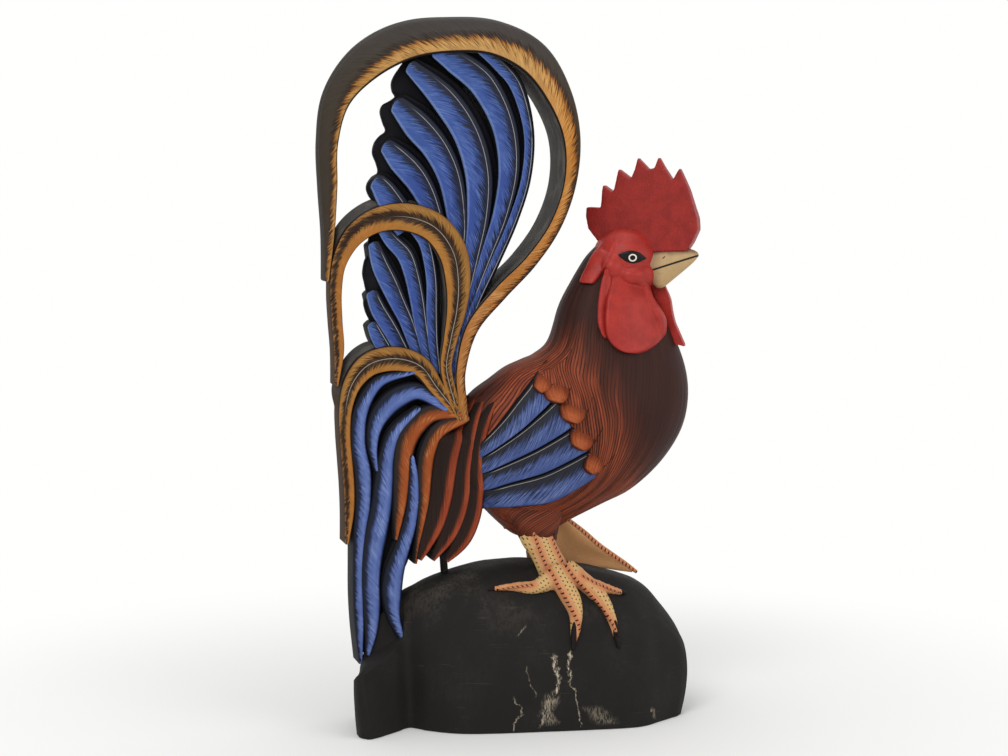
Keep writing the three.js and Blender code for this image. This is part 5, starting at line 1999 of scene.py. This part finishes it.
@dataclass
class Legs:
    """Both legs with their toes, dotted skin and dashed ridges."""

    shank: Rows = (
        (25, -32, 240, 13, 19), (25, -36, 219, 12.5, 20), (29, -38, 205, 12, 19), (35, -40, 194, 11, 17.5),
        (42, -43, 180, 11, 18), (49, -46, 164, 11, 19), (53, -50, 144, 8, 15),
    )
    toes: tuple[Rows, ...] = (
        ((40, -58, 12), (17, -64, 8), (-9, -60, 4.6), (-36, -57, 1.6)),
        ((44, -50, 14), (52, -67, 12), (60, -85, 8.5), (53, -98, 2)),
        ((58, -48, 14), (78, -62, 11), (97, -79, 7.5), (107, -99, 2.4)),
        ((54, -50, 12), (80, -61, 8.5), (104, -63, 5.5), (127, -61, 2)),
    )
    ridges: dict[str, Rows] = field(default_factory=lambda: {
        "near_front_ridge": ((16, 232, 2), (22, 212, 2.4), (30, 190, 2.6), (39, 168, 2.8), (48, 148, 3),
                             (57, 128, 3), (62, 110, 2.6), (59, 92, 1.2)),
        "near_side_ridge": ((38, 236, 2), (42, 214, 2.4), (50, 192, 2.6), (60, 172, 2.8), (74, 155, 3),
                            (88, 138, 3), (99, 121, 2.6), (106, 104, 1.2)),
        "near_back_ridge": ((14, 162, 2.2), (2, 160.5, 2.2), (-12, 158.5, 1.8), (-26, 156, 1.2)),
        "near_inner_ridge": ((72, 170, 1.6), (86, 162, 2.2), (103, 154, 2), (119, 147, 1.2)),
    })
    far_slim: float = 0.62
    far_shift: float = 8.0
    web_upper: Rows = ((64, 234), (78, 223), (90, 213), (108, 197), (137, 176), (152, 165), (162, 157))
    web_lower: Rows = ((58, 226), (60, 190), (66, 162), (97, 158), (124, 158), (146, 154), (164, 151))
    web_half: float = 7.0
    web_y: float = 38.0
    knee: tuple[float, float] = (30.0, 240.0)

    def toe(self, points: Rows, mound: Mound) -> Grid:
        """Draws one toe lying on the log.

        Args:
            points: Its middle line as x, y and radius.
            mound: The log.

        Returns:
            Its rings.
        """
        path = spline(points, 10)
        x, y, r = path.T
        z = np.array([mound.top(a, b) for a, b in zip(x, y)]) + 0.35 * r
        line = np.column_stack([x, y, z])
        run = unit(np.gradient(line, axis=0))
        side = unit(np.cross([0, 0, 1.0], run))
        rise = np.cross(run, side)
        angle = circle(40)[..., None]
        knuckle = 1 + 0.05 * np.sin(np.linspace(0, 5 * np.pi, len(path)))
        ring = np.cos(angle) * side[:, None] + np.sin(angle) * rise[:, None]
        return line[:, None] + (r * knuckle)[:, None, None] * ring

    def core(self, mound: Mound, toes: tuple[Rows, ...], slim: float = 1.0, shift: float = 0.0) -> Clay:
        """Shank and toes as one clay.

        Args:
            mound: The log.
            toes: The toes that the leg has.
            slim: Share of the shank's full width.
            shift: How far the shank stands forward.

        Returns:
            The clay.
        """
        x, y, z, deep, wide = (column[:, None] for column in spline(self.shank, 8).T)
        angle = circle(48)
        swing = wide * np.cos(angle)
        clay = Clay().tube(stack(x + shift + slim * swing, y + deep * np.sin(angle), z + 0.15 * swing))
        for points in toes:
            clay.tube(self.toe(points, mound))
        return clay

    def skin(self, core: Clay, toes: tuple[Rows, ...], name: str, shade: float, blushed: float) -> Mesh:
        """Leg skin with its dots and claws set out.

        Args:
            core: Shank and toes.
            toes: The toes that the leg has, for the claws.
            name: Name of the mesh.
            shade: How much of the skin is in brown shade.
            blushed: How much salmon runs out beside the ridges.

        Returns:
            The mesh.
        """
        mesh = fused([core], name, 1.2, 5)
        places = vertex_array(mesh)
        ahead, up = places[:, 0] - self.knee[0], places[:, 2] - self.knee[1]
        claw, blush = np.zeros((2, len(places)))
        for points in toes:
            tip, before = np.array(points[-1])[:2], np.array(points[-2])[:2]
            reach = np.linalg.norm(tip - before)
            distance = np.linalg.norm(places[:, :2] - tip, axis=1)
            claw = np.maximum(claw, smooth_step(reach * 0.36, reach * 0.26, distance))
        for line in self.ridges.values():
            spots = spline(line, 8)[:, :2]
            away = np.linalg.norm(places[:, None, ::2] - spots[None], axis=2).min(1)
            blush = np.maximum(blush, smooth_step(9.0, 2.5, away) * smooth_step(-30, -40, places[:, 1]))
        carry(mesh, "lay", stack(np.hypot(ahead, up), ahead * 0.93 + up * 0.36 + 40, claw))
        carry(mesh, "mood", stack(0.0, shade, blush * blushed))
        return mesh

    def ridge(self, ground: Ground, line: Rows, seed: int, proud: float = 2.0, clawed: float = 1.0) -> Clay:
        """Raised dashed ridge laid down the leg.

        Args:
            ground: The leg's surface.
            line: Middle line as x, z and half width.
            seed: Seed of its paint.
            proud: How far it stands up.
            clawed: 1 where its end is the black of a claw, otherwise 0.

        Returns:
            The clay.
        """
        curve = spline(line, 8)
        pad = Pad(*beside(curve[:, :2], curve[:, 2]), proud, seed, rows=110, columns=21)
        clay = pad.lay_on(Clay(), ground, lambda at: np.cos(at.across * np.pi / 2) ** 0.8, -20.0, 2.0)
        lay = clay.lays[0]
        lay[:, 2] = smooth_step(0.95, 0.98, lay[:, 0] / lay[:, 0].max()) * clawed
        return clay

    def build(self, shop: Workshop, mound: Mound) -> None:
        """Carves both legs.

        Args:
            shop: Where the pieces go.
            mound: The log that they stand on.
        """
        near = self.core(mound, self.toes)
        skin = self.skin(near, self.toes, "near_leg", 0.0, 0.8)
        shop.carved("near_leg", skin, [LegCoat("leg_paint")], "leg_paint", 80)
        ground = Ground(near)
        coats = [RidgeCoat()] * 2
        for seed, (name, line) in enumerate(self.ridges.items(), 101):
            shop.piece(name, self.ridge(ground, line, seed), coats, sharp=80)
        slimmer = np.array(self.toes[1:3]) * (1, 1, 0.85) + (self.far_shift, 0, 0)
        far = self.core(mound, slimmer, self.far_slim, self.far_shift).mirrored()
        skin = self.skin(far, slimmer * (1, -1, 1), "far_leg", 0.1, 0.0)
        shop.carved("far_leg", skin, [LegCoat("far_leg_paint", dots=0.0)], "leg_paint", 80)
        web = self.web()
        coat = LegCoat("web_paint", tint(226, 172, 118), shadow=tint(172, 120, 76), dots=0.0)
        shop.piece("far_leg_web", web, [coat, coat], sharp=70)
        line = tuple((a, b - 3.2, w) for (a, b), w in zip(self.web_upper[:-1], (2, 2.4, 2.8, 3, 3, 2)))
        ridge = self.ridge(Ground(web), line, 113, 1.6, 0.0)
        shop.piece("far_dashed_ridge", ridge, coats, sharp=80)

    def web(self) -> Clay:
        """Carves the far leg's broad web, hollowed along its middle.

        Returns:
            The clay.
        """
        at = Pad(self.web_upper, self.web_lower, 1.0, 111, rows=70).plan()
        hollow = 2.6 * np.exp(-(((at.across + 0.05) / 0.5) ** 2)) * (1 - smooth_step(0.5, 1.0, at.share))
        thick = self.web_half * (1 - 0.55 * at.share) * (0.35 + 0.65 * at.edge(5)) - hollow
        rim = smooth_step(-0.45, -0.9, at.across)
        shade = 0.42 * (1 - rim) * (1 - 0.7 * smooth_step(0.4, 0.95, at.across))
        front, back = (stack(at.x, self.web_y + out, at.z) for out in (-thick, thick))
        lay, mood = stack(at.along, at.across * 14, 0.0), stack(0.3, shade + 0 * at.x, 0.0)
        return Clay().slab(front, back, lay, mood)


@dataclass
class Joinery:
    """Dowels and the prop peg, which keep their turned shape."""

    dowels: tuple[str, ...] = (
        "near_foot_dowel", "far_foot_dowel", "near_thigh_dowel", "far_thigh_dowel", "neck_dowel",
        "comb_dowel",
    )

    def build(self, shop: Workshop) -> None:
        """Dresses the turned pieces.

        Args:
            shop: Where their paints are mixed.
        """
        for name in self.dowels:
            self.dress(shop, name, TimberCoat())
        self.dress(shop, "rump_prop_peg", WallCoat("peg_paint", tint(30, 28, 28), tint(80, 74, 70), 0.3))

    @staticmethod
    def dress(shop: Workshop, name: str, coat: Coat) -> None:
        """Gives a CAD node its coat.

        Args:
            shop: Where its paint is mixed.
            name: The node's name.
            coat: The coat.
        """
        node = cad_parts[name]
        for slot in node.material_slots:
            slot.material = shop.paint(coat)
        LOG.info("%s: frame node kept, dressed in %s", name, coat.name)


@dataclass
class Studio:
    """Floor, soft lamps and the camera."""

    target: tuple[float, float, float] = (-0.008, -0.022, 0.393)
    azimuth: float = -14.0
    elevation: float = 5.5
    distance: float = 2.7132
    lens: float = 85.0
    film: float = 36.0
    shadow_reach: tuple[float, float] = (260.0, 900.0)
    floor_reach: float = 12.0
    floor_z: float = -0.0006
    lamp_target: tuple[float, float, float] = (0.0, 0.0, 0.4)
    lamps: tuple[tuple[str, tuple[float, float, float], float, float], ...] = (
        ("key_lamp", (-1.6, -2.2, 2.6), 1.8, 42.0), ("fill_lamp", (2.2, -2.4, 1.4), 2.2, 20.0),
        ("top_lamp", (0.2, 0.4, 3.2), 2.4, 26.0),
    )

    def build(self) -> None:
        """Sets the studio up."""
        self.hang_camera()
        self.lay_floor()
        self.light_surroundings()
        for name, place, size, power in self.lamps:
            data = bpy.data.lights.new(name, "AREA")
            data.shape = "DISK"
            data.size = size
            data.energy = power
            lamp = self.hung(name, data, Vector(place))
            away = Vector(self.lamp_target) - Vector(place)
            lamp.rotation_euler = away.to_track_quat("-Z", "Y").to_euler()
        bpy.context.scene.view_settings.view_transform = "Standard"

    @staticmethod
    def hung(name: str, data: bpy.types.ID, place: Vector) -> bpy.types.Object:
        """Puts a lamp, a camera or a mesh in the studio.

        Args:
            name: The object's name.
            data: What it shows.
            place: Where it goes, in metres.

        Returns:
            The object.
        """
        made = bpy.data.objects.new(name, data)
        made.location = place
        bpy.context.scene.collection.objects.link(made)
        return made

    def hang_camera(self) -> None:
        """Puts the camera at the photograph's angle."""
        data = bpy.data.cameras.new("camera")
        data.sensor_fit = "HORIZONTAL"
        data.sensor_width = self.film
        data.lens = self.lens
        data.clip_end = 50.0
        turn, rise = math.radians(self.azimuth), math.radians(self.elevation)
        away = Vector((math.sin(turn) * math.cos(rise), -math.cos(turn) * math.cos(rise), math.sin(rise)))
        camera = self.hung("camera", data, Vector(self.target) + away * self.distance)
        camera.rotation_euler = (-away).to_track_quat("-Z", "Y").to_euler()
        bpy.context.scene.camera = camera

    def lay_floor(self) -> None:
        """Lays a plain pale floor, which glows white beyond the reach of the shadow."""
        mesh = bpy.data.meshes.new("floor")
        reach = self.floor_reach
        corners = [(-reach, -reach, 0), (reach, -reach, 0), (reach, reach, 0), (-reach, reach, 0)]
        mesh.from_pydata(corners, [], [(0, 1, 2, 3)])
        floor = self.hung("floor", mesh, Vector((0, 0, self.floor_z)))
        brush = Brush(bpy.data.materials.new("floor_paint"))
        nodes = brush.tree.nodes
        brush.feed(nodes["Principled BSDF"], {"Base Color": (0.88, 0.88, 0.87), "Roughness": 0.9})
        x, y, _ = brush.place()
        away = brush.math("SQRT", x * x + y * y)
        glow = brush.wire("ShaderNodeEmission", None, {"Color": (1.0, 1.0, 0.99), "Strength": 1.0})
        paint = Wire(brush, nodes["Principled BSDF"].outputs[0])
        blend = {0: away.rise(*self.shadow_reach) * 0.95 + 0.05, 1: paint, 2: glow}
        brush.feed(nodes["Material Output"], {"Surface": brush.wire("ShaderNodeMixShader", None, blend)})
        mesh.materials.append(brush.block)

    def light_surroundings(self) -> None:
        """Makes the surroundings white to the eye, and dimmer as a source of light."""
        world = bpy.data.worlds.new("studio")
        bpy.context.scene.world = world
        brush = Brush(world)
        rays = brush.node("ShaderNodeLightPath").outputs
        kinds = ("Is Camera Ray", "Is Glossy Ray", "Is Transmission Ray")
        eye, gloss, glass = (Wire(brush, rays[kind]) for kind in kinds)
        strength = eye.calc("MAXIMUM", gloss).calc("MAXIMUM", glass) * 0.45 + 0.55
        brush.feed(brush.tree.nodes["Background"], {"Strength": strength, "Color": (1.0, 1.0, 0.99)})


def main() -> None:
    """Builds and dresses every sub-assembly."""
    logging.basicConfig(level=logging.INFO, format="%(name)s: %(message)s")
    Studio().build()
    shop = Workshop()
    mound = Mound()
    mound.build(shop)
    trunk = Trunk()
    trunk.build(shop)
    smooth = trunk.smooth()
    flank = Ground(smooth)
    Tail().build(shop, flank)
    Wings().build(shop, flank)
    Head().build(shop, smooth)
    Legs().build(shop, mound)
    Joinery().build(shop)


if __name__ == "__main__":
    main()
